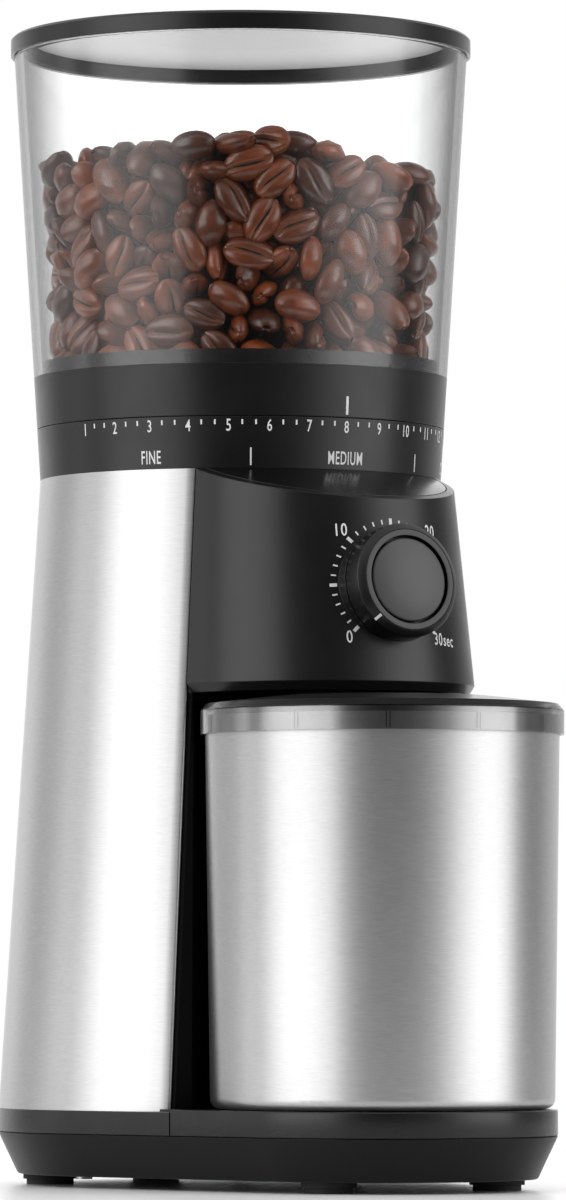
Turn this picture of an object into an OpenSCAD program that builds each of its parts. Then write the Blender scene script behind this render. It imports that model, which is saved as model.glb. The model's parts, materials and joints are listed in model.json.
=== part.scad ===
// Burr coffee grinder with a clear hopper on top and a steel container in a bay at the front.
// Millimetres, +Z up, front is -Y. The origin is the centre of the footprint, on the floor.

/* [Heights, from the floor up] */
// Height of the rubber feet
foot_h = 4; // [3:0.5:6]
// Height of the base pan's leaning wall
pan_h = 14.9; // [12:0.1:18]
// Height of the upright band above the pan
band_h = 8.3; // [8:0.1:12]
// Height of the steel shell
shell_h = 223.2; // [218:0.1:250]
// Height of the fixed scale ring
scale_h = 18.4; // [16:0.1:24]
// Height of the turning pointer ring
pointer_h = 18.3; // [16:0.1:24]
// Height of the clear hopper wall
hopper_h = 115.8; // [80:0.1:150]
// Height of the hopper lid's rim
lid_h = 6.5; // [6:0.1:12]
// Rise of the lid's domed top above its rim
dome_h = 4.6; // [2:0.1:6]

/* [Column and rings] */
// Radius of the steel shell at its foot
shell_bottom_r = 86; // [84:0.5:92]
// Radius of the neck, where the shell meets the rings
neck_r = 71.6; // [71:0.1:76]
// Radius of the hopper under its lid
hopper_top_r = 81.1; // [78:0.1:90]
// Thickness of the steel sheet
shell_t = 1.2; // [0.8:0.1:1.6]
// Distance from the burr axis forward to the shell's edges at the neck
edge_top_y = 52.2; // [50:0.1:54]
// The same distance at the shell's foot
edge_bottom_y = 58.5; // [56:0.1:60]
// Wall of the two rings
ring_t = 3.5; // [3:0.1:4.5]
// Wall of the clear hopper
hopper_t = 3; // [2:0.1:3.5]
// Overhang of the hopper lid past the hopper wall
lid_overhang = 1.3; // [0.8:0.1:3]
// Thickness of the lid's top
lid_t = 1.5; // [1.2:0.1:2.2]
// Thickness of the dark collar that shows inside the foot of the hopper
collar_t = 3.3; // [2:0.1:4]
// Height of that collar above the pointer ring
collar_show = 5.2; // [3:0.1:8]

/* [Base] */
// How far the base stands out past the shell's foot
base_step = 0.2; // [0.1:0.1:2]
// How far the base stands out past the container's foot
front_step = 0.9; // [0.5:0.1:3]
// Inset of the pan's bottom edge
pan_inset = 7; // [4:0.5:9]
// Wall of the base mouldings
base_t = 2.5; // [2:0.1:3]
// Step of the front deck above the shell's foot
deck_step = 0.8; // [0.4:0.1:2]
// Radius of a foot
foot_r = 9.6; // [8:0.1:11]

/* [Container] */
// Distance from the burr axis forward to the bay's back wall
bay_back = 30; // [29.5:0.1:32]
// Gap between the container's lid and the bay's wall
bay_gap = 3.1; // [2.5:0.1:4]
// Outer radius of the container's mouth
cup_top_r = 61.4; // [60:0.1:63]
// How much narrower the container is near its foot
cup_taper = 1.8; // [0.5:0.1:4]
// Sheet thickness of the container
cup_t = 0.9; // [0.7:0.1:1.2]
// Radius of the container's bottom edge
cup_edge_r = 3.6; // [3:0.1:6]
// Overhang of the container's lid past the mouth
cup_lid_over = 1.5; // [1.2:0.1:2.5]
// Height of the container's lid above the mouth
cup_lid_h = 7.1; // [6:0.1:9]
// Depth of the lid's skirt below the mouth
cup_skirt_h = 6.1; // [4:0.1:8]
// Wall of the container's lid
cup_lid_t = 1.8; // [1.4:0.1:2.2]
// Gap between the container's lid and the head above it
head_gap = 1.8; // [1.5:0.1:3]

/* [Head] */
// Height of the head below the neck
head_h = 78.3; // [76:0.1:82]
// How far the head's sides stand out past the shell's edges
head_step = 0.3; // [0.1:0.1:0.6]
// Distance from the burr axis to the head's centre at its foot
head_bottom_y = 54.7; // [54:0.1:56]
// The same distance at the neck's height
head_top_y = 49.1; // [48:0.1:50]
// Wall of the head
head_t = 2.6; // [2:0.1:3]
// Height of the chamfer round the head's foot
head_chamfer = 3.9; // [2:0.1:5]
// How far that chamfer draws the foot in
head_chamfer_in = 2; // [1:0.1:3]
// Slope of the shoulder, in degrees
shoulder_deg = 22; // [18:0.5:28]
// Height of the knob's centre below the neck
knob_drop = 41.5; // [40:0.1:44]

/* [Knob] */
// Radius of the knob's skirt
knob_r = 20; // [19:0.1:21]
// Radius of the knob's front rim
knob_rim_r = 17.7; // [17:0.1:18.5]
// Depth of the knob in front of its boss
knob_h = 9.8; // [9:0.1:12]
// Height of the bevel between the knob's flank and its rim
knob_bevel_h = 1.9; // [1:0.1:2.5]
// Radius of the start button
button_r = 14.6; // [12:0.1:15]
// Width of the groove round the button
button_gap = 0.8; // [0.4:0.1:1]
// Travel of the start button
button_travel = 1.5; // [1:0.1:1.7]
// Radius of the knob's hub
hub_r = 9; // [8:0.1:9.5]

/* [Burrs] */
// Radius of the cone burr at its foot
cone_r = 19; // [17:0.1:20]
// Height of the cone burr
cone_h = 28; // [26:0.1:30]
// Outer radius of the ring burr
ring_burr_r = 28; // [27:0.1:28.5]
// Height of the ring burr
ring_burr_h = 20; // [18:0.1:21]
// Gap between the burrs at the middle setting
burr_gap = 0.6; // [0.5:0.05:0.8]
// Up or down travel of the ring burr over half the scale
burr_lift = 0.8; // [0.6:0.05:0.9]
// Number of grind settings on the scale
settings = 15; // [9:2:15]
// Angle between two settings, in degrees
setting_deg = 11.35; // [9:0.05:12]
// Inner radius of the grind chamber
chamber_r = 34; // [33.5:0.1:34.5]
// Wall of the grind chamber
chamber_t = 4; // [3.5:0.1:4.2]

/* [Drive] */
// Radius of the burr shaft
shaft_r = 4; // [3.5:0.1:4.2]
// Radius of the motor shaft and the idler's pin
pin_r = 2.5; // [2:0.1:2.8]
// Module of the motor's gear pair
fast_module = 1; // [1:0.01:1.02]
// Module of the burr shaft's gear pair
slow_module = 1.25; // [1.25:0.01:1.27]
// Teeth on the small gear of each pair
small_teeth = 12; // [12:1:12]
// Teeth on the large gear of the motor's pair
fast_teeth = 48; // [48:1:48]
// Teeth on the large gear of the burr shaft's pair
slow_teeth = 36; // [36:1:36]
// Radius of the motor
motor_r = 25; // [23:0.1:25.5]
// Length of the motor's can
motor_len = 72; // [65:0.5:76]

/* [Fits] */
// Gap between mouldings that don't move on each other
fit = 0.3; // [0.2:0.05:0.4]
// Radial clearance of a running fit
run = 0.05; // [0.03:0.01:0.08]
// Radial clearance of a pressed fit
press = 0.01; // [0.01:0.01:0.02]

/* [Hidden] */
$fn = 96;
far = 400;
sliver = 0.01;

// Levels
z_pan = foot_h;
z_band = z_pan + pan_h;
z_shell = z_band + band_h;
z_neck = z_shell + shell_h;
z_pointer = z_neck + scale_h;
z_hopper = z_pointer + pointer_h;
z_lid = z_hopper + hopper_h;
z_rim = z_lid + lid_h;
z_deck = z_shell + deck_step;
z_head = z_neck - head_h;
z_pan_floor = z_pan + base_t;
base_rear_r = shell_bottom_r + base_step;
cup_bottom_r = cup_top_r - cup_taper;
cup_lid_r = cup_top_r + cup_lid_over;
base_front_r = cup_bottom_r + front_step;
bay_r = cup_lid_r + bay_gap;
cup_offset = bay_back + bay_r;

// Places in plan: the burr axis is set so that the footprint is centred on the origin.
axis_y = (cup_offset + cup_lid_r - base_rear_r) / 2;
cup_y = axis_y - cup_offset;
bay_back_y = -bay_back;
panel_t = 2.5;

function shell_radius(z) = shell_bottom_r + (neck_r - shell_bottom_r) * (z - z_shell) / shell_h;
function upper_radius(z) = neck_r + (hopper_top_r - neck_r) * (z - z_neck) / (z_lid - z_neck);
function edge_y(z) = -(edge_bottom_y + (edge_top_y - edge_bottom_y) * (z - z_shell) / shell_h);
function edge_x(z) = sqrt(pow(shell_radius(z), 2) - pow(edge_y(z), 2));
function shoulder_z(r) = z_neck - (r - neck_r) * tan(shoulder_deg);

// Head: a cone that leans back and runs on from the shell's edges, and the line down its front
head_bottom_r = edge_x(z_head) + head_step;
head_top_r = edge_x(z_neck) + head_step;
head_tilt = atan((head_bottom_y - head_top_y) / head_h);
head_len = head_h / cos(head_tilt);
head_taper = (head_bottom_r - head_top_r) / head_len;
face_lean = head_tilt + atan(head_taper);
face_y0 = -head_bottom_y - head_bottom_r * cos(head_tilt);
face_z0 = z_head + head_bottom_r * sin(head_tilt);
knob_z = z_neck - knob_drop;
knob_y = face_y0 + (knob_z - face_z0) * tan(face_lean);

// Levels inside, all hung from the neck
plate_t = 4;
z_plate = z_neck - 33.6;
z_flange = z_plate + plate_t;
flange_t = 4;
z_collar = z_flange + 30;
z_chamber = z_flange - 32;
chamber_floor_t = 4;
z_cover_top = z_chamber - 6;
z_case = z_cover_top - 44;
case_t = 4;
bearing_h = 7;
bearing_r = 11;
z_impeller = z_chamber + chamber_floor_t + 0.6;
impeller_h = 11.4;
z_cone = z_impeller + impeller_h;
z_carrier = z_cone + 3;
carrier_h = 31;
z_ring_burr = z_carrier + 2;
lug_h = 3;
z_lug = z_carrier + 23;
lug_r = 41;
slope = 10 / 26;
grind_h = 6;

// Gear train: the motor and the burr shaft share one axis, the idler stands behind it
idler_y = fast_module * (small_teeth + fast_teeth) / 2;
pinion_h = 8;
wheel_h = 7;
z_pinion = z_case + case_t + 2;
z_idler_small = z_pinion + wheel_h + 0.5;
idler_small_h = 12.5;
z_output = z_idler_small + 3.5;
output_h = 8;
case_r = slow_module * (slow_teeth / 2 + 0.75) + 1;
case_wall = 1.9;
z_motor = z_case - motor_len;
end_cap_h = 10;
isolator_h = 4;

module at_axis() translate([0, axis_y, 0]) children();
module at_cup() translate([0, cup_y, 0]) children();
module at_idler() translate([0, axis_y + idler_y, 0]) children();

// The knob's frame: +Z out of the face, +Y up the face
module at_knob() translate([0, axis_y + knob_y, knob_z]) rotate([90 - face_lean, 0, 0]) children();

// A ring or a disc between two heights
module tube(r_out, r_in, z0, z1) {
    translate([0, 0, z0]) difference() {
        cylinder(h = z1 - z0, r = r_out);
        translate([0, 0, -1]) cylinder(h = z1 - z0 + 2, r = r_in);
    }
}
module disc(r, z0, z1) translate([0, 0, z0]) cylinder(h = z1 - z0, r = r);
module ring_of(count, first = 0) {
    for (i = [0:count - 1]) rotate(first + i * 360 / count) children();
}

// A side profile drawn in Y and Z, given a width along X
module side_prism(points, w) {
    rotate([90, 0, 90]) linear_extrude(height = w, center = true) polygon(points);
}

// Space behind the shell's leaning front edges, and the space in front of them
module behind_edge(gap) {
    side_prism([[far, 0], [far, z_lid], [edge_y(z_lid) + gap, z_lid], [edge_y(0) + gap, 0]], far);
}
module before_edge(gap) {
    side_prism([[-far, 0], [edge_y(0) - gap, 0], [edge_y(z_lid) - gap, z_lid], [-far, z_lid]], far);
}

// The column's taper between two heights, drawn in by an inset
module column(z0, z1, inset) {
    translate([0, 0, z0])
        cylinder(h = z1 - z0, r1 = shell_radius(z0) - inset, r2 = shell_radius(z1) - inset);
}
module bay(r, z0, z1) translate([0, -cup_offset, 0]) disc(r, z0, z1);

// Outline of the base: two round ends and straight sides
module base_slab(inset_bottom, inset_top, z0, z1) {
    hull() {
        translate([0, 0, z0])
            cylinder(h = z1 - z0, r1 = base_rear_r - inset_bottom, r2 = base_rear_r - inset_top);
        translate([0, -cup_offset, z0])
            cylinder(h = z1 - z0, r1 = base_front_r - inset_bottom, r2 = base_front_r - inset_top);
    }
}

/* Base */
front_foot_x = 34;
front_foot_y = -cup_offset - 20;
side_foot_x = 58.5;
side_foot_y = 34;
rear_foot_y = 60;
foot_places = [
    [front_foot_x, front_foot_y], [-front_foot_x, front_foot_y],
    [side_foot_x, side_foot_y], [-side_foot_x, side_foot_y], [0, rear_foot_y]
];
foot_plug_r = 3;
post_places = [[56, 14], [-56, 14], [30, 50], [-30, 50]];
post_r = 5;
screw_r = 1.5;
screw_hole_r = 1.6;
screw_head_r = 3;
screw_head_h = 1.8;
screw_len = 12;

module rubber_feet() color("#161616") at_axis() {
    for (p = foot_places) translate([p[0], p[1], 0]) {
        disc(foot_r - 1.2, 0, foot_h / 2);
        disc(foot_r, foot_h / 2, foot_h);
        disc(foot_plug_r, foot_h, z_pan_floor + 1.2);
    }
}

module base_pan() color("#1b1b1c") at_axis() difference() {
    base_slab(pan_inset, 0, z_pan, z_band);
    base_slab(pan_inset - pan_inset * base_t / pan_h + base_t, base_t, z_pan_floor, z_band + sliver);
    for (p = foot_places) translate([p[0], p[1], 0]) disc(foot_plug_r + press, 0, z_band);
    for (p = post_places) translate([p[0], p[1], 0]) disc(screw_hole_r, 0, z_band);
}

// One screw with its head at z = 0 and its shank going up
module screw_up() {
    translate([0, 0, -screw_head_h]) cylinder(h = screw_head_h, r = screw_head_r);
    cylinder(h = screw_len, r = screw_r);
}
module screw_down() mirror([0, 0, 1]) screw_up();

module pan_screws() color("silver") at_axis() {
    for (p = post_places) translate([p[0], p[1], z_pan]) screw_up();
}

// Front deck: the container's floor and the band round it
module deck_plan(z0, z1) {
    intersection() {
        base_slab(0, 0, z0, z1);
        before_edge(fit);
    }
    intersection() {
        bay(bay_r + panel_t, z0, z1);
        translate([-far / 2, -far + bay_back_y + panel_t, 0]) cube([far, far, far]);
        disc(shell_bottom_r - shell_t - ring_t, z0, z1);
    }
}
module front_deck() color("#202021") at_axis() difference() {
    deck_plan(z_band, z_deck);
    difference() {
        base_slab(base_t, base_t, z_band - 1, z_deck - base_t);
        behind_edge(-base_t);
    }
    intersection() {
        bay(bay_r - base_t, z_band - 1, z_deck - base_t);
        base_slab(base_t, base_t, z_band - 1, z_deck);
    }
}

// Rear skirt: the band under the steel shell, with a ledge inside
skirt_ledge = 6;
cord_r = 2.6;
bush_r = 4.2;
bush_hole_r = 3.5;
bush_len = 8;
cord_z = z_band + band_h / 2;
module rear_skirt() color("#202021") at_axis() difference() {
    intersection() {
        base_slab(0, 0, z_band, z_shell);
        behind_edge(fit);
    }
    base_slab(base_t, base_t, z_band - 1, z_shell - base_t);
    base_slab(skirt_ledge, skirt_ledge, z_band - 1, z_shell + 1);
    bay(bay_r + panel_t + fit, z_band - 1, z_shell + 1);
    translate([0, 0, cord_z]) rotate([-90, 0, 0]) {
        cylinder(h = far, r = bush_hole_r);
        cylinder(h = base_rear_r - base_t, r = bush_r + fit);
    }
}

module cord_inlet() color("#111111") at_axis() {
    translate([0, base_rear_r - bush_len, cord_z]) rotate([-90, 0, 0]) difference() {
        union() {
            cylinder(h = bush_len - base_t - fit, r = bush_r);
            cylinder(h = bush_len, r = bush_hole_r - press);
        }
        translate([0, 0, -1]) cylinder(h = bush_len + 2, r = cord_r);
    }
}

/* Column */
module steel_shell() color("#c9c9c9") at_axis() intersection() {
    difference() {
        column(z_shell, z_neck, 0);
        column(z_shell - 1, z_neck + 1, shell_t);
    }
    behind_edge(0);
}

module column_panel() color("#0d0d0d") at_axis() difference() {
    intersection() {
        column(z_deck, z_head - sliver, shell_t + fit);
        behind_edge(0);
    }
    bay(bay_r, 0, z_neck);
    difference() {
        behind_edge(panel_t);
        bay(bay_r + panel_t, 0, z_neck);
    }
}

module chassis_posts() color("#3a3a3c") at_axis() {
    for (p = post_places) translate([p[0], p[1], 0]) difference() {
        disc(post_r, z_pan_floor, z_plate);
        disc(screw_hole_r, 0, z_pan + screw_len + 1);
        disc(screw_hole_r, z_flange - screw_len - 1, z_flange);
    }
}

plate_r = neck_r - 3;
module top_plate() color("#3a3a3c") at_axis() difference() {
    disc(plate_r, z_plate, z_flange);
    disc(chamber_r + chamber_t + fit, 0, z_neck);
    for (p = post_places) translate([p[0], p[1], 0]) disc(screw_hole_r, 0, z_neck);
    ring_of(4, 45) translate([chamber_screw_y, 0, 0]) disc(screw_hole_r, 0, z_neck);
}

module plate_screws() color("silver") at_axis() {
    for (p = post_places) translate([p[0], p[1], z_flange]) screw_down();
}

/* Head */
module head_cone(inset) {
    ext = 40;
    translate([0, -head_bottom_y, z_head]) rotate([-head_tilt, 0, 0]) translate([0, 0, -ext])
        cylinder(
            h = head_len + 2 * ext,
            r1 = head_bottom_r + head_taper * ext - inset,
            r2 = head_top_r - head_taper * ext - inset
        );
}
// Everything under the shoulder's cone
module under_shoulder(drop) {
    reach = 60;
    translate([0, 0, shoulder_z(neck_r + reach) - drop])
        cylinder(h = reach * tan(shoulder_deg), r1 = neck_r + reach, r2 = neck_r);
    disc(far / 2, 0, shoulder_z(neck_r + reach) - drop);
}
// Outline of the head: the cone in front of the shell's edges, and lips that reach back inside the shell
head_join = 0.6;
module head_plan(inset) {
    lip = fit + inset + head_join;
    back = bay_back_y + panel_t + inset;
    intersection() {
        head_cone(inset);
        before_edge(fit + inset);
    }
    intersection() {
        column(z_shell, z_neck, shell_t + fit + inset);
        side_prism([
            [back, 0], [back, z_neck],
            [edge_y(z_neck) - lip, z_neck], [edge_y(0) - lip, 0]
        ], far);
    }
}
knob_boss_r = knob_r + 0.2;
knob_boss_h = 8;
chute_w = 32;
chute_t = 2;
chute_front_y = -82;
chute_back_y = -60;
board_z = -17.6;
board_t = 1.6;
board_w = 52;
board_h = 40;
board_post_x = 21;
board_post_y = 14;
module head_housing() color("#1a1a1b") at_axis() difference() {
    union() {
        difference() {
            intersection() {
                head_plan(0);
                under_shoulder(0);
                union() {
                    disc(far / 2, z_head + head_chamfer, z_neck);
                    translate([0, -head_bottom_y, z_head]) cylinder(
                        h = head_chamfer,
                        r1 = head_bottom_r - head_chamfer_in,
                        r2 = head_bottom_r + head_step
                    );
                    intersection() {
                        bay(bay_r + panel_t, z_head, z_head + head_chamfer);
                        side_prism([
                            [0, z_head], [0, z_neck],
                            [edge_y(z_head), z_neck], [edge_y(z_head), z_head]
                        ], far);
                    }
                }
                disc(far / 2, z_head, z_neck);
            }
            intersection() {
                head_plan(head_t);
                disc(far / 2, z_head + head_t, z_neck + 1);
            }
        }
        intersection() {
            translate([0, -axis_y, 0]) at_knob()
                translate([0, 0, -knob_boss_h]) cylinder(h = knob_boss_h, r = knob_boss_r);
            under_shoulder(head_t + 1);
        }
        translate([0, -axis_y, 0]) at_knob() for (x = [-1, 1], y = [-1, 1])
            translate([x * board_post_x, y * board_post_y, board_z + board_t])
                cylinder(h = -board_z - board_t - 6, r = 2.4);
    }
    translate([0, -axis_y, 0]) at_knob() translate([0, 0, -20]) cylinder(h = 30, r = hub_r + run);
    translate([0, chute_back_y + (chute_front_y - chute_back_y) / 2, z_head])
        cube([chute_w + 2 * fit, chute_back_y - chute_front_y + 2 * fit, 20], center = true);
}

shoulder_t = 1.5;
module shoulder_trim() color("#0c0c0c") at_axis() difference() {
    intersection() {
        head_cone(head_t + fit);
        before_edge(head_t + 2 * fit);
        under_shoulder(0);
    }
    under_shoulder(shoulder_t);
    disc(neck_r - ring_t, 0, far);
}

// The ring stands on the top plate with a skirt inside the head's lips. The slot in its top face
// holds a tab of the pointer ring between the first and the last setting.
ring_skirt_r = neck_r - shell_t - head_t - 3 * fit;
stop_r = neck_r - 2.1;
stop_t = 1.4;
stop_w = 3;
stop_h = 1.8;
stop_slack_deg = 4;
stop_sweep_deg = (settings - 1) * setting_deg + stop_slack_deg;
module scale_ring() color("#151516") at_axis() {
    difference() {
        translate([0, 0, z_neck])
            cylinder(h = scale_h - fit, r1 = upper_radius(z_neck), r2 = upper_radius(z_pointer - fit));
        disc(ring_skirt_r - ring_t, 0, far);
        rotate(-90 - stop_sweep_deg / 2) translate([0, 0, z_pointer - stop_h - 2 * fit])
            rotate_extrude(angle = stop_sweep_deg) translate([stop_r - stop_t / 2 - fit, 0])
                square([stop_t + 2 * fit, stop_h + scale_h]);
    }
    tube(ring_skirt_r, ring_skirt_r - ring_t, z_flange, z_neck + sliver);
}

/* Timer: board, switch and encoder behind the face */
switch_w = 12;
switch_h = 4;
switch_floor = 0.8;
plunger_r = 1.75;
stem_r = 6;
module control_board() color("#1f5a35") at_knob() {
    translate([-board_w / 2, -board_h / 2, board_z]) cube([board_w, board_h, board_t]);
}
module start_switch() color("#2b2b2b") at_knob() difference() {
    translate([-switch_w / 2, -switch_w / 2, board_z + board_t]) cube([switch_w, switch_w, switch_h]);
    translate([0, 0, board_z + board_t + switch_floor]) cylinder(h = switch_h, r = plunger_r + run);
}
encoder_r = 15;
encoder_h = 6.4;
module dial_encoder() color("#54585c") at_knob()
    tube(encoder_r, hub_r + 1.5, board_z + board_t, board_z + board_t + encoder_h);

/* Knob and button, drawn in the knob's frame */
pocket_z = 5;
hub_end = -9.4;
clip_t = 1;
button_z = pocket_z + button_travel + 0.5;
button_crown = 0.5;
module timer_knob() color("#1d1d1e") at_knob() difference() {
    union() {
        rotate_extrude() polygon([
            [0, fit], [knob_r, fit], [knob_r - 0.1, knob_h - knob_bevel_h],
            [knob_rim_r, knob_h], [0, knob_h]
        ]);
        translate([0, 0, hub_end]) cylinder(h = -hub_end + 1, r = hub_r);
    }
    translate([0, 0, pocket_z]) cylinder(h = knob_h, r = button_r + button_gap);
    translate([0, 0, hub_end - 1]) cylinder(h = 30, r = stem_r + run);
    tube(hub_r + 1, hub_r - 1, hub_end + 0.2, hub_end + 0.2 + clip_t);
}
module knob_clip() color("silver") at_knob() difference() {
    translate([0, 0, hub_end + 0.2 + sliver]) cylinder(h = clip_t - 2 * sliver, r = hub_r + 2.6);
    translate([0, 0, hub_end - 1]) cylinder(h = 4, r = hub_r - 1 + press);
}
plunger_end = board_z + board_t + switch_floor + button_travel + 0.2;
module start_button() color("#232324") at_knob() {
    rotate_extrude() polygon([
        [0, button_z], [button_r, button_z], [button_r, knob_h - 0.8],
        [button_r - 0.6, knob_h - 0.3], [0, knob_h + button_crown]
    ]);
    translate([0, 0, hub_end + 1]) cylinder(h = button_z - hub_end - 1 + sliver, r = stem_r);
    translate([0, 0, plunger_end]) cylinder(h = hub_end + 1 - plunger_end + sliver, r = plunger_r);
}

/* Grind chamber */
chamber_screw_y = 48;
flange_r = 52;
window_h = 18;
window_w = chute_w - 2 * chute_t;
z_window = z_impeller + 1.4;
lug_w = 8;
module grind_chamber() color("#2a2a2c") at_axis() difference() {
    union() {
        disc(chamber_r + chamber_t, z_chamber, z_collar);
        disc(flange_r, z_flange, z_flange + flange_t);
        tube(24, 20, z_cover_top, z_chamber);
    }
    disc(chamber_r, z_chamber + chamber_floor_t, far);
    disc(bearing_r + press, z_chamber - 1, z_chamber + chamber_floor_t - 1);
    disc(shaft_r + 1, 0, far);
    translate([-window_w / 2, -chamber_r - chamber_t - 5, z_window]) cube([window_w, 20, window_h]);
    ring_of(4, 45) translate([chamber_screw_y, 0, 0]) disc(screw_hole_r, 0, far);
    ring_of(3, 90) translate([chamber_r + chamber_t / 2, 0, (z_lug + far) / 2 - burr_lift - 1])
        cube([20, lug_w + 2 * fit, far - z_lug], center = true);
}
module chamber_screws() color("silver") at_axis() {
    ring_of(4, 45) translate([chamber_screw_y, 0, z_flange + flange_t]) screw_down();
}

// A ball bearing drawn as one ring
module bearing(z) tube(bearing_r, shaft_r + run, z, z + bearing_h);
z_upper_bearing = z_chamber + chamber_floor_t - 1 - bearing_h;
z_lower_bearing = z_cover_top - 11;
module upper_bearing() color("silver") at_axis() bearing(z_upper_bearing);
module lower_bearing() color("silver") at_axis() bearing(z_lower_bearing);

// Chute: from the chamber's window down through the head's floor
module chute_side(inset) {
    side_prism([
        [0, z_window + window_h + chute_t - inset],
        [chute_front_y + 16 + inset, z_window + window_h + chute_t - inset],
        [chute_front_y + inset, z_window + 6 - inset],
        [chute_front_y + inset, z_head - (inset > 0 ? 1 : 0)],
        [chute_back_y - inset, z_head - (inset > 0 ? 1 : 0)],
        [chute_back_y - inset, z_head + 6 - inset / 2],
        [-chamber_r - chamber_t, z_window - chute_t + inset],
        [0, z_window - chute_t + inset]
    ], chute_w - 2 * inset);
}
module chute() color("#262628") at_axis() difference() {
    chute_side(0);
    chute_side(chute_t);
    disc(chamber_r + chamber_t + press, 0, far);
}

/* Power board behind the motor: a relay, a capacitor and four standoffs */
power_w = 48;
power_d = 24;
standoff_h = 5;
standoff_r = 2;
standoff_in = 3;
relay_w = 15;
relay_h = 14;
capacitor_r = 6;
capacitor_h = 20;
module power_board() color("#1f5a35") at_axis() {
    translate([-power_w / 2, motor_r + standoff_h, z_pan_floor + standoff_h]) {
        cube([power_w, power_d, board_t]);
        translate([power_w / 12, power_d / 4, board_t - sliver]) cube([relay_w, power_d / 2, relay_h]);
        translate([power_w * 5 / 8, power_d / 2, board_t - sliver])
            cylinder(h = capacitor_h, r = capacitor_r);
        for (x = [standoff_in, power_w - standoff_in], y = [standoff_in, power_d - standoff_in])
            translate([x, y, -standoff_h]) cylinder(h = standoff_h + sliver, r = standoff_r);
    }
}

// Switch that the fitted hopper closes
lever_w = 4;
lever_gap = 0.6;
hopper_switch_w = 18;
hopper_switch_d = 9;
hopper_switch_h = 16;
module hopper_switch() color("#2b2b2b") at_axis() {
    translate([-hopper_switch_w / 2, flange_r + lever_gap, z_flange]) {
        cube([hopper_switch_w, hopper_switch_d, hopper_switch_h]);
        translate([(hopper_switch_w - lever_w) / 2, lever_w / 2, hopper_switch_h - sliver])
            cube([lever_w, lever_w, z_adjuster_flange - z_flange - hopper_switch_h - lever_gap]);
    }
}

/* Gears */
back_deg = 0.35;
pressure_deg = 20;
flank_steps = 3;
function inv_deg(a) = tan(a) * 180 / PI - a;
function half_tooth(n, m, r) = 90 / n + inv_deg(pressure_deg) - back_deg * 24 / n
    - inv_deg(acos(min(1, m * n / 2 * cos(pressure_deg) / r)));
function polar(r, a) = [r * cos(a), r * sin(a)];
function tooth(n, m, a) =
    let (
        base = m * n / 2 * cos(pressure_deg),
        root = m * (n / 2 - 1.25),
        tip = m * (n / 2 + 0.75),
        low = max(base, root),
        radii = [for (k = [0:flank_steps]) low + (tip - low) * k / flank_steps]
    )
    concat(
        [polar(root, a - half_tooth(n, m, low))],
        [for (k = [0:flank_steps]) polar(radii[k], a - half_tooth(n, m, radii[k]))],
        [for (k = [flank_steps:-1:0]) polar(radii[k], a + half_tooth(n, m, radii[k]))],
        [polar(root, a + half_tooth(n, m, low))]
    );
module gear(n, m, h, turn = 0) {
    linear_extrude(height = h) polygon([for (i = [0:n - 1]) each tooth(n, m, turn + i * 360 / n)]);
}

module case_plan(r, z0, z1) {
    disc(r, z0, z1);
    translate([0, idler_y, 0]) disc(r + 0.6, z0, z1);
}
module gear_case() color("#2f3033") at_axis() difference() {
    case_plan(case_r + case_wall, z_case, z_cover_top - case_t);
    case_plan(case_r, z_case + case_t, far);
    disc(8, 0, far);
    translate([0, idler_y, 0]) disc(pin_r + press, z_case + 1, far);
}
module gear_cover() color("#2f3033") at_axis() difference() {
    union() {
        case_plan(case_r + case_wall, z_cover_top - case_t, z_cover_top);
        disc(bearing_r + 2.5, z_lower_bearing, z_cover_top);
        translate([0, idler_y, 0]) disc(pin_r + 2.5, z_idler_small + idler_small_h + 0.5, z_cover_top);
    }
    disc(bearing_r + press, z_lower_bearing - 1, z_lower_bearing + bearing_h);
    disc(shaft_r + 1, 0, far);
    translate([0, idler_y, 0]) disc(pin_r + press, 0, z_cover_top - 1);
}
module idler_pin() color("silver") at_idler() disc(pin_r, z_case + 1, z_cover_top - 1);
module idler_gear() color("#d8d4c4") at_idler() difference() {
    union() {
        translate([0, 0, z_pinion]) gear(fast_teeth, fast_module, wheel_h, 180 / fast_teeth);
        translate([0, 0, z_pinion + wheel_h - sliver]) gear(small_teeth, slow_module, idler_small_h + 0.5);
    }
    disc(pin_r + run, 0, far);
}
module output_gear() color("#d8d4c4") at_axis() difference() {
    translate([0, 0, z_output]) gear(slow_teeth, slow_module, output_h, 180 / slow_teeth);
    disc(shaft_r + press, 0, far);
}
nut_h = 4;
module burr_shaft() color("silver") at_axis() disc(shaft_r, z_output - 1.5, z_cone + cone_h + nut_h + 1);

/* Burrs */
module impeller() color("#3b3b3d") at_axis() difference() {
    union() {
        disc(9, z_impeller, z_cone);
        disc(30, z_impeller, z_impeller + 2);
        ring_of(4, 45) translate([0, -1.5, z_impeller]) cube([chamber_r - 1.5, 3, impeller_h - 3]);
    }
    disc(shaft_r + press, 0, far);
}
module cone_burr() color("#8d8f92") at_axis() difference() {
    rotate_extrude() polygon([
        [shaft_r + press, z_cone], [cone_r, z_cone], [cone_r, z_cone + 2],
        [cone_r - (cone_h - 2) * slope, z_cone + cone_h], [shaft_r + press, z_cone + cone_h]
    ]);
    ring_of(6) translate([cone_r + 0.6, 0, z_cone + 2]) rotate([0, -atan(slope), 0]) rotate([16, 0, 0])
        translate([-2.6, -1.2, 6]) cube([5, 2.4, 40]);
    ring_of(24) translate([cone_r + 0.8, 0, z_cone - 1]) rotate([0, -atan(slope) / 2, 0]) rotate([16, 0, 0])
        translate([-1.2, -0.5, 0]) cube([5, 1, 12]);
}
module burr_nut() color("silver") at_axis() translate([0, 0, z_cone + cone_h]) difference() {
    cylinder(h = nut_h, r = 6.5, $fn = 6);
    translate([0, 0, -1]) cylinder(h = nut_h + 2, r = shaft_r + press);
}

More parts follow.
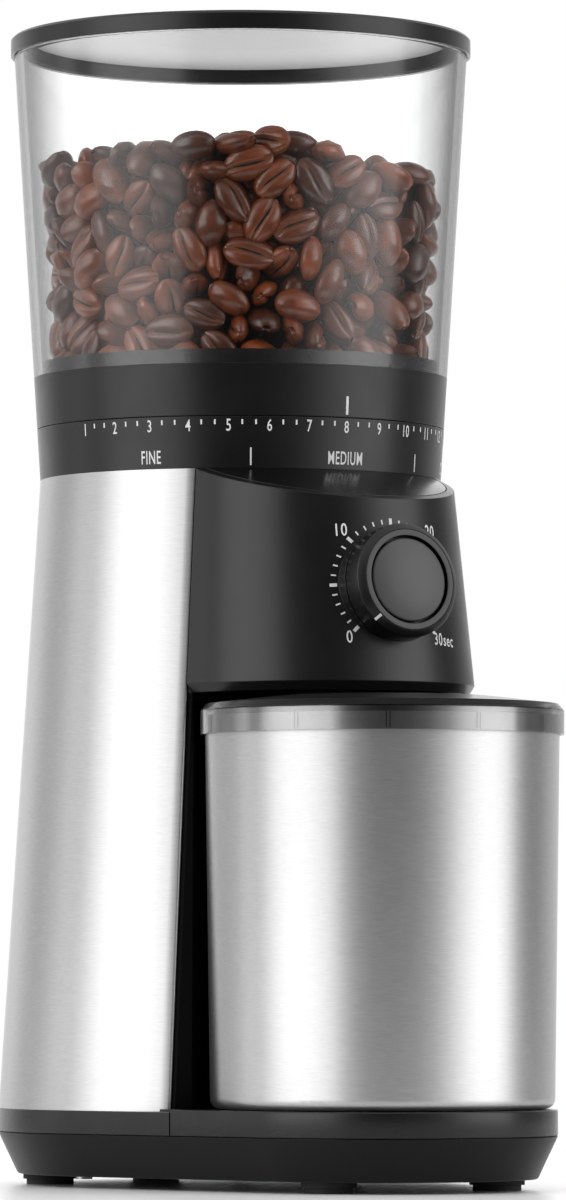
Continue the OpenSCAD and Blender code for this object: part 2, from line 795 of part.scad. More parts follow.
function cone_at(z) = cone_r - (z - z_cone - 2) * slope;
z_grind_top = z_ring_burr + grind_h;
module ring_burr() color("#8d8f92") at_axis() difference() {
    rotate_extrude() polygon([
        [ring_burr_r, z_ring_burr], [ring_burr_r, z_ring_burr + ring_burr_h],
        [ring_burr_r - 7, z_ring_burr + ring_burr_h], [cone_at(z_grind_top) + burr_gap, z_grind_top],
        [cone_at(z_ring_burr) + burr_gap, z_ring_burr]
    ]);
    ring_of(12) translate([cone_r + 3.4, 0, z_ring_burr + ring_burr_h / 2]) rotate([20, 0, 0])
        cube([5, 1.4, 2 * ring_burr_h], center = true);
    ring_of(3, 30) translate([ring_burr_r - 3.4, 0, z_ring_burr + ring_burr_h - 6]) cylinder(h = 7, r = 1.3);
}
module ring_burr_screws() color("silver") at_axis() {
    ring_of(3, 30) translate([ring_burr_r - 3.4, 0, z_ring_burr + ring_burr_h - 5]) {
        cylinder(h = 11, r = 1.25);
        translate([0, 0, 9]) cylinder(h = 2, r = 2.4);
    }
}
module ring_burr_carrier() color("#333335") at_axis() difference() {
    union() {
        disc(chamber_r - run, z_carrier, z_carrier + carrier_h);
        ring_of(3, 90) translate([chamber_r - 3, -lug_w / 2, z_lug])
            cube([lug_r - chamber_r + 3, lug_w, lug_h]);
    }
    disc(ring_burr_r + press, z_carrier - 1, z_ring_burr + ring_burr_h);
    disc(ring_burr_r - 7, 0, far);
    disc(ring_burr_r + 1.5, z_ring_burr + ring_burr_h + 4, far);
    ring_of(3, 30) translate([ring_burr_r - 3.4, 0, 0]) disc(1.35, 0, far);
}

adjuster_in = chamber_r + chamber_t + run;
adjuster_out = 45;
adjuster_flange_r = 58;
z_adjuster_flange = z_collar + 2;
adjuster_flange_t = 4;
z_adjuster_top = z_adjuster_flange + adjuster_flange_t;
dog_r = 50;
dog_w = 6;
dog_h = 9;
module adjuster_ring() color("#414145") at_axis() {
    difference() {
        union() {
            disc(adjuster_out, z_flange + flange_t + fit + 2, z_adjuster_top);
            disc(adjuster_flange_r, z_adjuster_flange, z_adjuster_top);
        }
        disc(adjuster_in, 0, far);
        disc(lug_r + 0.8, z_lug - burr_lift - fit, z_lug + lug_h + burr_lift + fit);
    }
    ring_of(2) translate([dog_r, -dog_w / 2, z_adjuster_top - sliver]) cube([6, dog_w, dog_h]);
}

/* Motor */
module motor_can() color("#9b9da0") at_axis() difference() {
    disc(motor_r, z_motor, z_case - sliver);
    disc(motor_r - 1.6, z_motor - 1, z_case - 1.6);
    disc(pin_r + run, 0, far);
}
magnet_t = 4.5;
module motor_magnets() color("#2a2a2a") at_axis() intersection() {
    tube(motor_r - 1.6 - press, motor_r - 1.6 - magnet_t, z_motor + 8, z_case - 10);
    ring_of(2) rotate(-65) rotate_extrude(angle = 130) square([motor_r, far]);
}
module motor_end_cap() color("#35302b") at_axis() difference() {
    union() {
        disc(motor_r, z_motor - end_cap_h, z_motor);
        disc(8, z_motor - end_cap_h - 3, z_motor);
    }
    disc(motor_r - 3, z_motor - end_cap_h + 4, far);
    disc(pin_r + run, z_motor - end_cap_h - 1, far);
}
module motor_rotor() color("#8a5a35") at_axis() {
    disc(pin_r, z_motor - end_cap_h, z_pinion + pinion_h + 0.5);
    disc(motor_r - 1.6 - magnet_t - 0.6, z_motor + 12, z_case - 14);
    disc(9, z_motor - 2, z_motor + 12 + sliver);
}
module motor_pinion() color("#b58d3d") at_axis() difference() {
    translate([0, 0, z_pinion]) gear(small_teeth, fast_module, pinion_h);
    disc(pin_r + press, 0, far);
}
z_isolator = z_motor - end_cap_h - isolator_h;
module motor_isolator() color("#101010") at_axis()
    tube(motor_r - 2, motor_r - 12, z_isolator, z_motor - end_cap_h);
module motor_cradle() color("#3a3a3c") at_axis() {
    tube(motor_r - 2, motor_r - 5, z_pan_floor, z_isolator);
    tube(motor_r - 4, motor_r - 12, z_isolator - 3, z_isolator);
}

/* Hopper */
throat_r = 22;
throat_t = 2.5;
z_throat = z_adjuster_top + 3;
collar_out = upper_radius(z_hopper) - hopper_t - 0.25;
z_ledge = z_hopper - 4.4;
window_deg = 80;
shutter_t = 2.2;
shutter_hub_r = 3;
module pointer_ring() color("#151516") at_axis() {
    difference() {
        translate([0, 0, z_pointer])
            cylinder(h = pointer_h, r1 = upper_radius(z_pointer), r2 = upper_radius(z_hopper));
        disc(collar_out - collar_t + fit, 0, far);
        disc(collar_out + press, z_ledge, far);
    }
    translate([-stop_w / 2, -stop_r - stop_t / 2, z_pointer - stop_h])
        cube([stop_w, stop_t, stop_h + sliver]);
}
module windows(z0, z1) {
    for (a = [0, 180]) rotate(a - window_deg / 2) translate([0, 0, z0])
        rotate_extrude(angle = window_deg) translate([shutter_hub_r + 4, 0])
            square([throat_r - shutter_hub_r - 5, z1 - z0]);
}
module hopper_funnel() color("#1c1c1d") at_axis() {
    funnel_foot = z_throat + 1;
    difference() {
        union() {
            rotate_extrude() polygon([
                [0, z_throat], [throat_r + throat_t, z_throat - 11], [throat_r + throat_t, funnel_foot],
                [collar_out - collar_t, z_ledge - 1], [collar_out - collar_t, z_ledge],
                [collar_out, z_ledge], [collar_out, z_hopper + collar_show],
                [collar_out - collar_t, z_hopper + collar_show], [collar_out - collar_t, z_ledge + 4],
                [throat_r, funnel_foot + 4], [throat_r, z_throat + throat_t], [0, z_throat + throat_t]
            ]);
            intersection() {
                ring_of(2) for (s = [-1, 1])
                    translate([dog_r - 3, s * (dog_w / 2 + fit) + (s < 0 ? -2 : 0), z_adjuster_top + fit])
                        cube([12, 2, far]);
                rotate_extrude() polygon([
                    [0, 0], [0, funnel_foot + 2], [throat_r, funnel_foot + 2],
                    [collar_out - collar_t, z_ledge + 1.5], [collar_out - collar_t, 0]
                ]);
            }
        }
        disc(throat_r + 0.2, 0, z_throat);
        windows(z_throat - 1, z_throat + throat_t + 1);
        disc(shutter_hub_r + run, 0, far);
    }
}
module hopper_wall() color([0.75, 0.78, 0.8, 0.4]) at_axis() difference() {
    translate([0, 0, z_hopper]) cylinder(h = hopper_h, r1 = upper_radius(z_hopper), r2 = hopper_top_r);
    translate([0, 0, z_hopper - 1]) cylinder(
        h = hopper_h + 2,
        r1 = upper_radius(z_hopper - 1) - hopper_t,
        r2 = upper_radius(z_lid + 1) - hopper_t
    );
}
module hopper_shutter() color("#4a4a4e") at_axis() difference() {
    union() {
        disc(throat_r, z_throat - fit - shutter_t, z_throat - fit);
        disc(shutter_hub_r, z_throat - fit - sliver, z_throat + throat_t + 2);
        disc(shutter_hub_r + 1.5, z_throat + throat_t + fit, z_throat + throat_t + 2);
    }
    windows(z_throat - 5, z_throat - fit + sliver / 2);
}

/* Hopper lid: the liner and the seal follow the underside of its dome */
lid_r = hopper_top_r + lid_overhang;
lid_in_r = hopper_top_r - hopper_t - 1;
liner_r = lid_in_r - 0.4;
liner_t = 0.8;
seal_t = 1.6;
lid_chamfer = 1;
dome_half = lid_r * 0.5;
dome_edge = lid_r * 0.85;
function dome_z(r) = z_rim + dome_h * (
    r < dome_half ? 1 - 0.2 * r / dome_half
    : r < dome_edge ? 0.8 - 0.5 * (r - dome_half) / (dome_edge - dome_half)
    : 0.3 * (lid_r - lid_chamfer - r) / (lid_r - lid_chamfer - dome_edge)
);
module hopper_lid() color("#161617") at_axis() rotate_extrude() polygon([
    [0, dome_z(0) - lid_t], [0, dome_z(0)], [dome_half, dome_z(dome_half)],
    [dome_edge, dome_z(dome_edge)], [lid_r - lid_chamfer, z_rim], [lid_r, z_rim - lid_chamfer],
    [lid_r, z_lid], [hopper_top_r + fit, z_lid], [hopper_top_r + fit, z_lid + fit],
    [lid_in_r, z_lid + fit], [lid_in_r, dome_z(lid_in_r) - lid_t],
    [dome_edge, dome_z(dome_edge) - lid_t], [dome_half, dome_z(dome_half) - lid_t]
]);
module lid_liner() color("#cfd1d2") at_axis() translate([0, 0, -lid_t - sliver]) rotate_extrude() polygon([
    [0, dome_z(0) - liner_t], [0, dome_z(0)], [dome_half, dome_z(dome_half)],
    [dome_edge, dome_z(dome_edge)], [liner_r, dome_z(liner_r)],
    [liner_r, dome_z(liner_r) - liner_t], [dome_edge, dome_z(dome_edge) - liner_t],
    [dome_half, dome_z(dome_half) - liner_t]
]);
module lid_seal() color("#101010") at_axis() rotate_extrude() polygon([
    [liner_r - seal_t, z_lid + fit], [liner_r, z_lid + fit],
    [liner_r, dome_z(liner_r) - lid_t - liner_t - 2 * sliver],
    [liner_r - seal_t, dome_z(liner_r - seal_t) - lid_t - liner_t - 2 * sliver]
]);

/* Container */
cup_top = z_head - head_gap - cup_lid_h;
cup_floor = z_deck + 0.2;
module container() color("#d0d0d0") at_cup() {
    taper = (cup_top_r - cup_bottom_r) / (cup_top - cup_floor);
    rotate_extrude() union() {
        difference() {
            union() {
                polygon([
                    [0, cup_floor + cup_edge_r], [cup_bottom_r, cup_floor + cup_edge_r],
                    [cup_top_r, cup_top], [0, cup_top]
                ]);
                square_foot = cup_bottom_r - cup_edge_r;
                translate([0, cup_floor]) square([square_foot, cup_edge_r + sliver]);
                translate([square_foot, cup_floor + cup_edge_r]) circle(r = cup_edge_r);
            }
            polygon([
                [0, cup_floor + cup_edge_r], [cup_bottom_r - cup_t, cup_floor + cup_edge_r],
                [cup_top_r - cup_t, cup_top], [cup_top_r - cup_t, cup_top + 1], [0, cup_top + 1]
            ]);
            translate([0, cup_floor + cup_t]) square([cup_bottom_r - cup_edge_r, cup_edge_r]);
            translate([cup_bottom_r - cup_edge_r, cup_floor + cup_edge_r]) circle(r = cup_edge_r - cup_t);
            translate([-far, 0]) square([far, far]);
        }
    }
}
// The lid: a shallow crown, a skirt outside the mouth, a rim inside it, and the chute's opening
crown_r = 38;
skirt_t = cup_lid_r - cup_top_r - fit;
corner_drop = 2.6;
corner_in = 2;
skirt_drop = 4.9;
rim_h = 5;
rim_t = 1.4;
lid_hole = 3;
module container_lid() color([0.25, 0.25, 0.27, 0.6]) at_cup() difference() {
    top = cup_top + cup_lid_h;
    union() {
        rotate_extrude() polygon([
            [0, top - cup_lid_t], [0, top], [crown_r, top],
            [cup_lid_r - corner_in, top - corner_drop], [cup_lid_r, top - skirt_drop],
            [cup_lid_r, cup_top - cup_skirt_h], [cup_lid_r - skirt_t, cup_top - cup_skirt_h],
            [cup_lid_r - skirt_t, cup_top + fit],
            [cup_lid_r - corner_in - cup_lid_t, cup_top + fit],
            [cup_lid_r - corner_in - cup_lid_t, top - corner_drop - cup_lid_t],
            [crown_r, top - cup_lid_t]
        ]);
        rim_r = cup_top_r - cup_t - fit;
        tube(rim_r, rim_r - rim_t, cup_top - rim_h, top - corner_drop - fit);
    }
    translate([-chute_w / 2 - lid_hole, cup_offset + chute_front_y - lid_hole, cup_top - 2 * rim_h])
        cube([chute_w + 2 * lid_hole, chute_back_y - chute_front_y + 2 * lid_hole, 4 * cup_lid_h + rim_h]);
}

rubber_feet();
base_pan();
pan_screws();
front_deck();
rear_skirt();
cord_inlet();
steel_shell();
column_panel();
chassis_posts();
top_plate();
plate_screws();
head_housing();
shoulder_trim();
scale_ring();
control_board();
start_switch();
dial_encoder();
power_board();
hopper_switch();
chute();
timer_knob();
knob_clip();
start_button();
grind_chamber();
chamber_screws();
upper_bearing();
lower_bearing();
gear_case();
gear_cover();
idler_pin();
idler_gear();
output_gear();
burr_shaft();
impeller();
cone_burr();
burr_nut();
ring_burr();
ring_burr_screws();
ring_burr_carrier();
adjuster_ring();
motor_can();
motor_magnets();
motor_end_cap();
motor_rotor();
motor_pinion();
motor_isolator();
motor_cradle();
pointer_ring();
hopper_funnel();
hopper_wall();
hopper_shutter();
hopper_lid();
lid_liner();
lid_seal();
container();
container_lid();
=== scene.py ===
import json
import math

import bmesh
import bpy
import numpy as np
from mathutils import Matrix, Vector
from mathutils.bvhtree import BVHTree


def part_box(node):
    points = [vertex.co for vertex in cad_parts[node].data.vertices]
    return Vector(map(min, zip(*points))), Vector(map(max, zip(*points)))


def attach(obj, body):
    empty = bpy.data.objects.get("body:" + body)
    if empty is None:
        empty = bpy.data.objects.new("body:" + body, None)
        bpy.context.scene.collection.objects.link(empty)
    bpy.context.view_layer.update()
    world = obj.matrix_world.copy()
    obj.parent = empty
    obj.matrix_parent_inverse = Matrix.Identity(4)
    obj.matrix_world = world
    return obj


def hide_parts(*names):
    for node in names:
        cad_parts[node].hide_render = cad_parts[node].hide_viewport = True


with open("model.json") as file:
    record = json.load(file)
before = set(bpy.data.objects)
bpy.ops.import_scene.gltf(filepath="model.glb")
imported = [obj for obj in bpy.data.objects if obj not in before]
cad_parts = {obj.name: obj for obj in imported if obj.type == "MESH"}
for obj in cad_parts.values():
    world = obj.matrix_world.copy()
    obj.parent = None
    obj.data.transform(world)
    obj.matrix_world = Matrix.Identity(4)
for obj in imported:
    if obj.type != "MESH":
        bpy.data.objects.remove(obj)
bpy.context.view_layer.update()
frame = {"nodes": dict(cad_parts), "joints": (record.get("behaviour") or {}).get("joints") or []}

# Camera and studio
# A level-headed product shot from the front left, close to the table: a white room, two tall soft
# panels at the sides, a dim patch behind the camera, and a pale table top.
mm = 0.001
hopper_low, hopper_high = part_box("hopper_wall")
burr_axis = Vector(((hopper_low.x + hopper_high.x) / 2, (hopper_low.y + hopper_high.y) / 2, 0))
camera_turn = math.radians(-30.72)
camera_distance = 2608.9 * mm
camera_height = 72.4 * mm
look = Vector((-math.sin(camera_turn), math.cos(camera_turn), 0))
look_right = Vector((math.cos(camera_turn), math.sin(camera_turn), 0))
tilt_up, turn_right = math.radians(2.978), math.radians(0.333)
aim = (look + look_right * math.tan(turn_right)).normalized() * math.cos(tilt_up)
aim.z = math.sin(tilt_up)

camera = bpy.data.objects.new("camera", bpy.data.cameras.new("camera"))
bpy.context.scene.collection.objects.link(camera)
bpy.context.scene.camera = camera
camera.location = burr_axis - look * camera_distance + Vector((0, 0, camera_height))
camera.rotation_mode = "QUATERNION"
camera.rotation_quaternion = aim.to_track_quat("-Z", "Y")
camera.data.sensor_width = 36
camera.data.lens = 219.27
camera.data.clip_start = 0.05
camera.data.clip_end = 60
bpy.context.scene.view_settings.view_transform = "Standard"


class Wire:
    """An output socket in a node tree. Sums written on it add Math nodes."""

    def __init__(self, tree, socket=None):
        self.tree, self.socket = tree, socket

    def node(self, kind, settings=None, sockets=None, out=0):
        """Adds a node, applies its settings, then fills or links its sockets."""
        made = self.tree.nodes.new("ShaderNode" + kind)
        for key, value in (settings or {}).items():
            if key == "stops":
                for n, (at, shade) in enumerate(value):
                    stops = made.color_ramp.elements
                    stop = stops[n] if n < len(stops) else stops.new(at)
                    stop.position = at
                    stop.color = (shade, shade, shade, 1)
            else:
                setattr(made, key, value)
        for key, value in (sockets or {}).items():
            if isinstance(value, Wire):
                self.tree.links.new(value.socket, made.inputs[key])
            else:
                made.inputs[key].default_value = value
        return Wire(self.tree, made.outputs[out] if made.outputs else None)

    def sum(self, operation, first, second):
        return self.node("Math", {"operation": operation}, {0: first, 1: second})

    def __add__(self, other): return self.sum("ADD", self, other)
    def __radd__(self, other): return self.sum("ADD", other, self)
    def __sub__(self, other): return self.sum("SUBTRACT", self, other)
    def __rsub__(self, other): return self.sum("SUBTRACT", other, self)
    def __mul__(self, other): return self.sum("MULTIPLY", self, other)
    def __rmul__(self, other): return self.sum("MULTIPLY", other, self)
    def __truediv__(self, other): return self.sum("DIVIDE", self, other)
    def __rtruediv__(self, other): return self.sum("DIVIDE", other, self)
    def __pow__(self, other): return self.sum("POWER", self, other)
    def __gt__(self, other): return self.sum("GREATER_THAN", self, other)
    def __lt__(self, other): return self.sum("LESS_THAN", self, other)


def mixed(share, first, second):
    """A colour between two colours. The Mix node's colours are sockets 6 and 7, and output 2."""
    return share.node("Mix", {"data_type": "RGBA"}, {0: share, 6: first, 7: second}, 2)


def grey(shade):
    """An opaque colour of equal parts."""
    return (shade, shade, shade, 1)


# The room's brightness by compass direction, in degrees from +X: soft panels from 155 to 210 and from
# 285 to 332, a dim patch between them behind the camera, a narrow strip at 141 beside the first panel,
# and a bright wall behind the grinder
room_stops = [
    (0, 0.3), (10, 0.5), (44, 0.9), (50, 1.5), (70, 1.5), (76, 0.9), (92, 1.1), (102, 0.9), (112, 0.6),
    (128, 0.75), (134, 1.2), (141, 1.5), (147, 0.85), (153, 0.9), (158, 1.9), (166, 2.8), (178, 3.1),
    (190, 2.9), (205, 2.3), (213, 0.6), (218, 0.3), (228, 0.12), (240, 0.07), (256, 0.13), (268, 0.3),
    (280, 0.85), (292, 2.1), (304, 3.0), (318, 3.1), (329, 2.6), (334, 0.8), (344, 0.3),
]
brightest = max(level for at, level in room_stops)
world = bpy.data.worlds.new("studio")
bpy.context.scene.world = world
world.use_nodes = True
world.node_tree.nodes.clear()
room = Wire(world.node_tree)
ray = room.node("TexCoord", {}, {}, "Generated")
east = room.node("SeparateXYZ", {}, {0: ray}, "X")
north = room.node("SeparateXYZ", {}, {0: ray}, "Y")
rise = room.node("SeparateXYZ", {}, {0: ray}, "Z")
compass = room.node("Math", {"operation": "ARCTAN2"}, {0: north, 1: east}) / (2 * math.pi)
compass = compass + (compass < 0)
wall_ramp = [(at / 360, level / brightest) for at, level in room_stops]
walls = room.node("ValToRGB", {"stops": wall_ramp}, {0: compass})
# Up the walls: dark under the table in front and bright behind it, then panels up to about 40 degrees,
# then the soft ceiling
ceiling_level, cellar_front, cellar_back = 1.0, 0.08, 1.6
above = room.node("MapRange", {}, {0: rise, 1: 0.5, 2: 0.8})
below = room.node("MapRange", {}, {0: rise, 1: -0.08, 2: -0.2})
cellar = room.node("ValToRGB", {"stops": [
    (0.0, cellar_front / brightest), (0.06, cellar_back / brightest), (0.27, cellar_back / brightest),
    (0.36, cellar_front / brightest)]}, {0: compass})
sky = mixed(above, walls, grey(ceiling_level / brightest))
sky = mixed(below, sky, cellar)
# The white backdrop is what the camera sees, straight on or straight through the clear parts
bounced = room.node("LightPath", {}, {}, "Ray Depth") - room.node("LightPath", {}, {}, "Transmission Depth")
through = room.node("LightPath", {}, {}, "Is Transmission Ray") * (bounced < 0.5)
seen = room.node("LightPath", {}, {}, "Is Camera Ray") + through
backdrop = room.node("Background", {}, {"Color": grey(1.0), "Strength": 1.0 + 0.1 * through})
glow = room.node("Background", {}, {"Color": sky, "Strength": brightest})
shown = room.node("MixShader", {}, {0: seen, 1: glow, 2: backdrop})
room.node("OutputWorld", {}, {0: shown})

# Table top
# A pale satin round for the grinder to stand on, reaching well past the base on every side.
table_radius, table_steps = 0.5, 96
table_mesh = bpy.data.meshes.new("table_top")
table_rim = [(table_radius * math.cos(2 * math.pi * n / table_steps),
              table_radius * math.sin(2 * math.pi * n / table_steps), 0) for n in range(table_steps)]
table_mesh.from_pydata(table_rim, [], [tuple(range(table_steps))])
table_top = bpy.data.objects.new("table_top", table_mesh)
bpy.context.scene.collection.objects.link(table_top)
table_finish = bpy.data.materials.new("pale_table")
table_finish.use_nodes = True
table_finish.node_tree.nodes.clear()
paint = Wire(table_finish.node_tree)
table_place = paint.node("TexCoord", {}, {}, "Object")
table_speckle = paint.node("TexNoise", {}, {"Vector": table_place, "Scale": 60.0})
table_tone = mixed(table_speckle, grey(0.93), grey(0.96))
table_skin = paint.node("BsdfPrincipled", {}, {"Base Color": table_tone, "Roughness": 0.32})
paint.node("OutputMaterial", {}, {0: table_skin})
table_mesh.materials.append(table_finish)


# Rubber feet
# Five round black rubber feet, each a wide pad on a narrower sole, with a stem that is pushed up
# into the pan. Moulded rubber: matt, with a faint bloom.
def finish(name, build):
    """A material: build gets its node tree and returns the shader to show."""
    material = bpy.data.materials.new(name)
    material.use_nodes = True
    material.node_tree.nodes.clear()
    tree = Wire(material.node_tree)
    tree.node("OutputMaterial", {}, {0: build(tree)})
    return material


def spots(tree, size, detail=2.0, stretch=(1, 1, 1)):
    """Noise with lumps of about this size in metres, fixed to the part."""
    place = tree.node("TexCoord", {}, {}, "Object")
    scaled = tree.node("VectorMath", {"operation": "MULTIPLY"}, {0: place, 1: [s / size for s in stretch]})
    return tree.node("TexNoise", {}, {"Vector": scaled, "Scale": 1.0, "Detail": detail})


def eased(tree, height, depth, edge=0.0):
    """The surface's normal: edges eased by a radius, then a relief of this depth in metres."""
    sockets = {"Height": height, "Distance": depth, "Strength": 1.0}
    if edge:
        sockets["Normal"] = tree.node("Bevel", {"samples": 4}, {"Radius": edge})
    return tree.node("Bump", {}, sockets)


def moulded(name, tone, shine, grain=0.25 * mm, depth=0.004 * mm, edge=0.35 * mm, spread=0.12, coat=0.0,
            gleam=0.36):
    """Injection-moulded plastic with a fine etched grain and slightly uneven gloss."""
    def build(tree):
        etch = spots(tree, grain, 1.0)
        patches = spots(tree, 14 * mm, 3.0)
        deep = tuple(c * 0.85 for c in tone) + (1,)
        pale = tuple(c * 1.2 for c in tone) + (1,)
        return tree.node("BsdfPrincipled", {}, {
            "Base Color": mixed(patches, deep, pale),
            "Roughness": shine + (patches - 0.5) * spread,
            "Specular IOR Level": gleam,
            "Coat Weight": coat,
            "Coat Roughness": 0.15,
            "Normal": eased(tree, etch, depth, edge),
        })
    return finish(name, build)


def wear(material, *names):
    """Gives CAD nodes this finish."""
    for name in names:
        node = frame["nodes"][name]
        node.data.materials.clear()
        node.data.materials.append(material)


foot_rubber = moulded("foot_rubber", (0.02, 0.02, 0.021), 0.75, 0.8 * mm, 0.02 * mm, 0.3 * mm)
wear(foot_rubber, "rubber_feet")

# Base pan
# The black plastic foot of the machine, a tray whose wall leans out to meet the band above it. Satin
# moulding, with the feet and the posts' screws coming through its floor.
def rounded(points, steps=4):
    """A closed outline with its corners rounded: each point is (x, y) or (x, y, radius)."""
    outline = []
    for n, point in enumerate(points):
        here = Vector(point[:2])
        bend = point[2] if len(point) > 2 else 0
        before = Vector(points[n - 1][:2]) - here
        after = Vector(points[(n + 1) % len(points)][:2]) - here
        bend = min(bend, before.length * 0.49, after.length * 0.49)
        if bend <= 0:
            outline.append(tuple(here))
            continue
        start, stop = here + before.normalized() * bend, here + after.normalized() * bend
        for k in range(steps + 1):
            t = k / steps
            outline.append(tuple(start * (1 - t) ** 2 + here * (2 * t * (1 - t)) + stop * t ** 2))
    return outline


def piece(name, verts, faces, body, slot, material, crease=38):
    """A mesh piece where its points say, riding its body, with edges sharper than crease kept hard."""
    mesh = bpy.data.meshes.new(name)
    mesh.from_pydata([tuple(v) for v in verts], [], faces)
    shape = bmesh.new()
    shape.from_mesh(mesh)
    bmesh.ops.remove_doubles(shape, verts=shape.verts, dist=0.002 * mm)
    bmesh.ops.dissolve_degenerate(shape, edges=shape.edges, dist=0.001 * mm)
    bmesh.ops.recalc_face_normals(shape, faces=shape.faces)
    shape.to_mesh(mesh)
    shape.free()
    mesh.shade_smooth()
    mesh.set_sharp_from_angle(angle=math.radians(crease))
    mesh.materials.append(material)
    made = bpy.data.objects.new(name, mesh)
    bpy.context.scene.collection.objects.link(made)
    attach(made, body)
    return made


def lofted(loops, joined=False):
    """Points and faces of a skin over equal closed loops; joined closes the last loop to the first."""
    count = len(loops[0])
    verts = [p for loop in loops for p in loop]
    faces = []
    for n in range(len(loops) if joined else len(loops) - 1):
        low, high = n * count, (n + 1) % len(loops) * count
        for k in range(count):
            m = (k + 1) % count
            faces.append((low + k, low + m, high + m, high + k))
    if not joined:
        faces.append(tuple(reversed(range(count))))
        faces.append(tuple(range(len(verts) - count, len(verts))))
    return verts, faces


def in_mm(points):
    """Outline points given in millimetres."""
    return [tuple(c * mm for c in point) for point in points]


satin_black = moulded("satin_black", (0.0055, 0.0055, 0.0058), 0.26, edge=0)
pan_black = moulded("pan_black", (0.005, 0.005, 0.0052), 0.34, edge=0, gleam=0.16)
container_low, container_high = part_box("container")
bay_axis = Vector((burr_axis.x, (container_low.y + container_high.y) / 2, 0))
rear_round = (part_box("rear_skirt")[1].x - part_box("rear_skirt")[0].x) / 2
front_round = bay_axis.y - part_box("front_deck")[0].y
centres_apart = burr_axis.y - bay_axis.y
lean = math.asin((rear_round - front_round) / centres_apart)


def rear_arc(inset, z, steps=72):
    """The base's round back, from right to left, drawn in by an inset."""
    turns = [-lean + (math.pi + 2 * lean) * n / steps for n in range(steps + 1)]
    return [burr_axis + Vector(((rear_round - inset) * math.cos(t), (rear_round - inset) * math.sin(t), z))
            for t in turns]


def front_arc(inset, z, steps=96):
    """The base's round front, from left to right."""
    turns = [math.pi + lean + (math.pi - 2 * lean) * n / steps for n in range(steps + 1)]
    return [bay_axis + Vector(((front_round - inset) * math.cos(t), (front_round - inset) * math.sin(t), z))
            for t in turns]


pan_low, pan_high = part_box("base_pan")
pan_inset, pan_wall, pan_middle = 7 * mm, 2.5 * mm, 40 * mm
pan_outline = rounded([
    (pan_middle, pan_low.z), (pan_inset, pan_low.z, 0.8 * mm), (0.0, pan_high.z, 0.5 * mm),
    (pan_wall, pan_high.z, 0.3 * mm), (pan_inset + pan_wall, pan_low.z + pan_wall),
    (pan_middle, pan_low.z + pan_wall)])
pan_loops = [rear_arc(inset, z) + front_arc(inset, z) for inset, z in pan_outline]
base_tray = piece("base_tray", *lofted(pan_loops), "frame", "black_plastic", pan_black)
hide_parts("base_pan")

# Band and deck
# An upright band that stands on the tray, in two black mouldings that meet just in front of the
# steel's edge: the skirt that the steel stands on, and the deck that the container stands on.
skirt_low, skirt_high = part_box("rear_skirt")
deck_low, deck_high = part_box("front_deck")
seam_y, seam_gap = burr_axis.y - 70.2 * mm, 0.3 * mm
ledge, steel_edge_y = 6 * mm, burr_axis.y - 58 * mm
band_wall, band_lift = 2.5 * mm, 0.15 * mm


def seam_x(inset, y):
    """Half the base's width where its straight side crosses y."""
    return ((rear_round - inset) - (y - burr_axis.y) * -math.sin(lean)) / math.cos(lean)


def skirt_path(inset, z):
    """The skirt's open path round the back of the base, from seam to seam."""
    y = seam_y + seam_gap
    x = seam_x(inset, y)
    return [Vector((x, y, z))] + rear_arc(inset, z) + [Vector((-x, y, z))]


skirt_outline = rounded([
    (0.0, skirt_low.z + band_lift, 0.35 * mm), (0.0, skirt_high.z, 0.5 * mm), (ledge, skirt_high.z),
    (ledge, skirt_high.z - band_wall), (band_wall, skirt_high.z - band_wall),
    (band_wall, skirt_low.z + band_lift)])
skirt_loops = list(zip(*[skirt_path(inset, z) for inset, z in skirt_outline]))
skirt = piece("skirt_band", *lofted(skirt_loops), "frame", "black_plastic", satin_black)
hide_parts("rear_skirt")


def bored(made, radius, start, end, steps=48):
    """Bores a round hole through a piece from one point to another."""
    along = end - start
    frame_at = along.to_track_quat("Z", "Y").to_matrix().to_4x4()
    loops = [[start + along * k + frame_at @ Vector((radius * math.cos(t), radius * math.sin(t), 0))
              for t in (2 * math.pi * n / steps for n in range(steps))] for k in (0, 1)]
    verts, faces = lofted(loops)
    mesh = bpy.data.meshes.new("bore")
    mesh.from_pydata([tuple(v) for v in verts], [], faces)
    borer = bpy.data.objects.new("bore", mesh)
    bpy.context.scene.collection.objects.link(borer)
    cut = made.modifiers.new("bore", "BOOLEAN")
    cut.operation, cut.object, cut.solver = "DIFFERENCE", borer, "EXACT"
    cut_mesh = bpy.data.meshes.new_from_object(made.evaluated_get(bpy.context.evaluated_depsgraph_get()))
    made.modifiers.remove(cut)
    made.data = cut_mesh
    cut_mesh.set_sharp_from_angle(angle=math.radians(38))
    bpy.data.objects.remove(borer)


bush_low, bush_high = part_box("cord_inlet")
neck_bore, head_bore, bush_flange, overrun = 3.5 * mm, 4.5 * mm, 2.6 * mm, 5 * mm
bush_at = Vector((burr_axis.x, 0, (bush_low.z + bush_high.z) / 2))
bore_start = bush_at + Vector((0, bush_low.y - overrun, 0))
bored(skirt, neck_bore, bore_start, bush_at + Vector((0, bush_high.y + overrun, 0)))
bored(skirt, head_bore, bore_start, bush_at + Vector((0, bush_high.y - bush_flange, 0)))
bay_round = deck_high.y - bay_axis.y


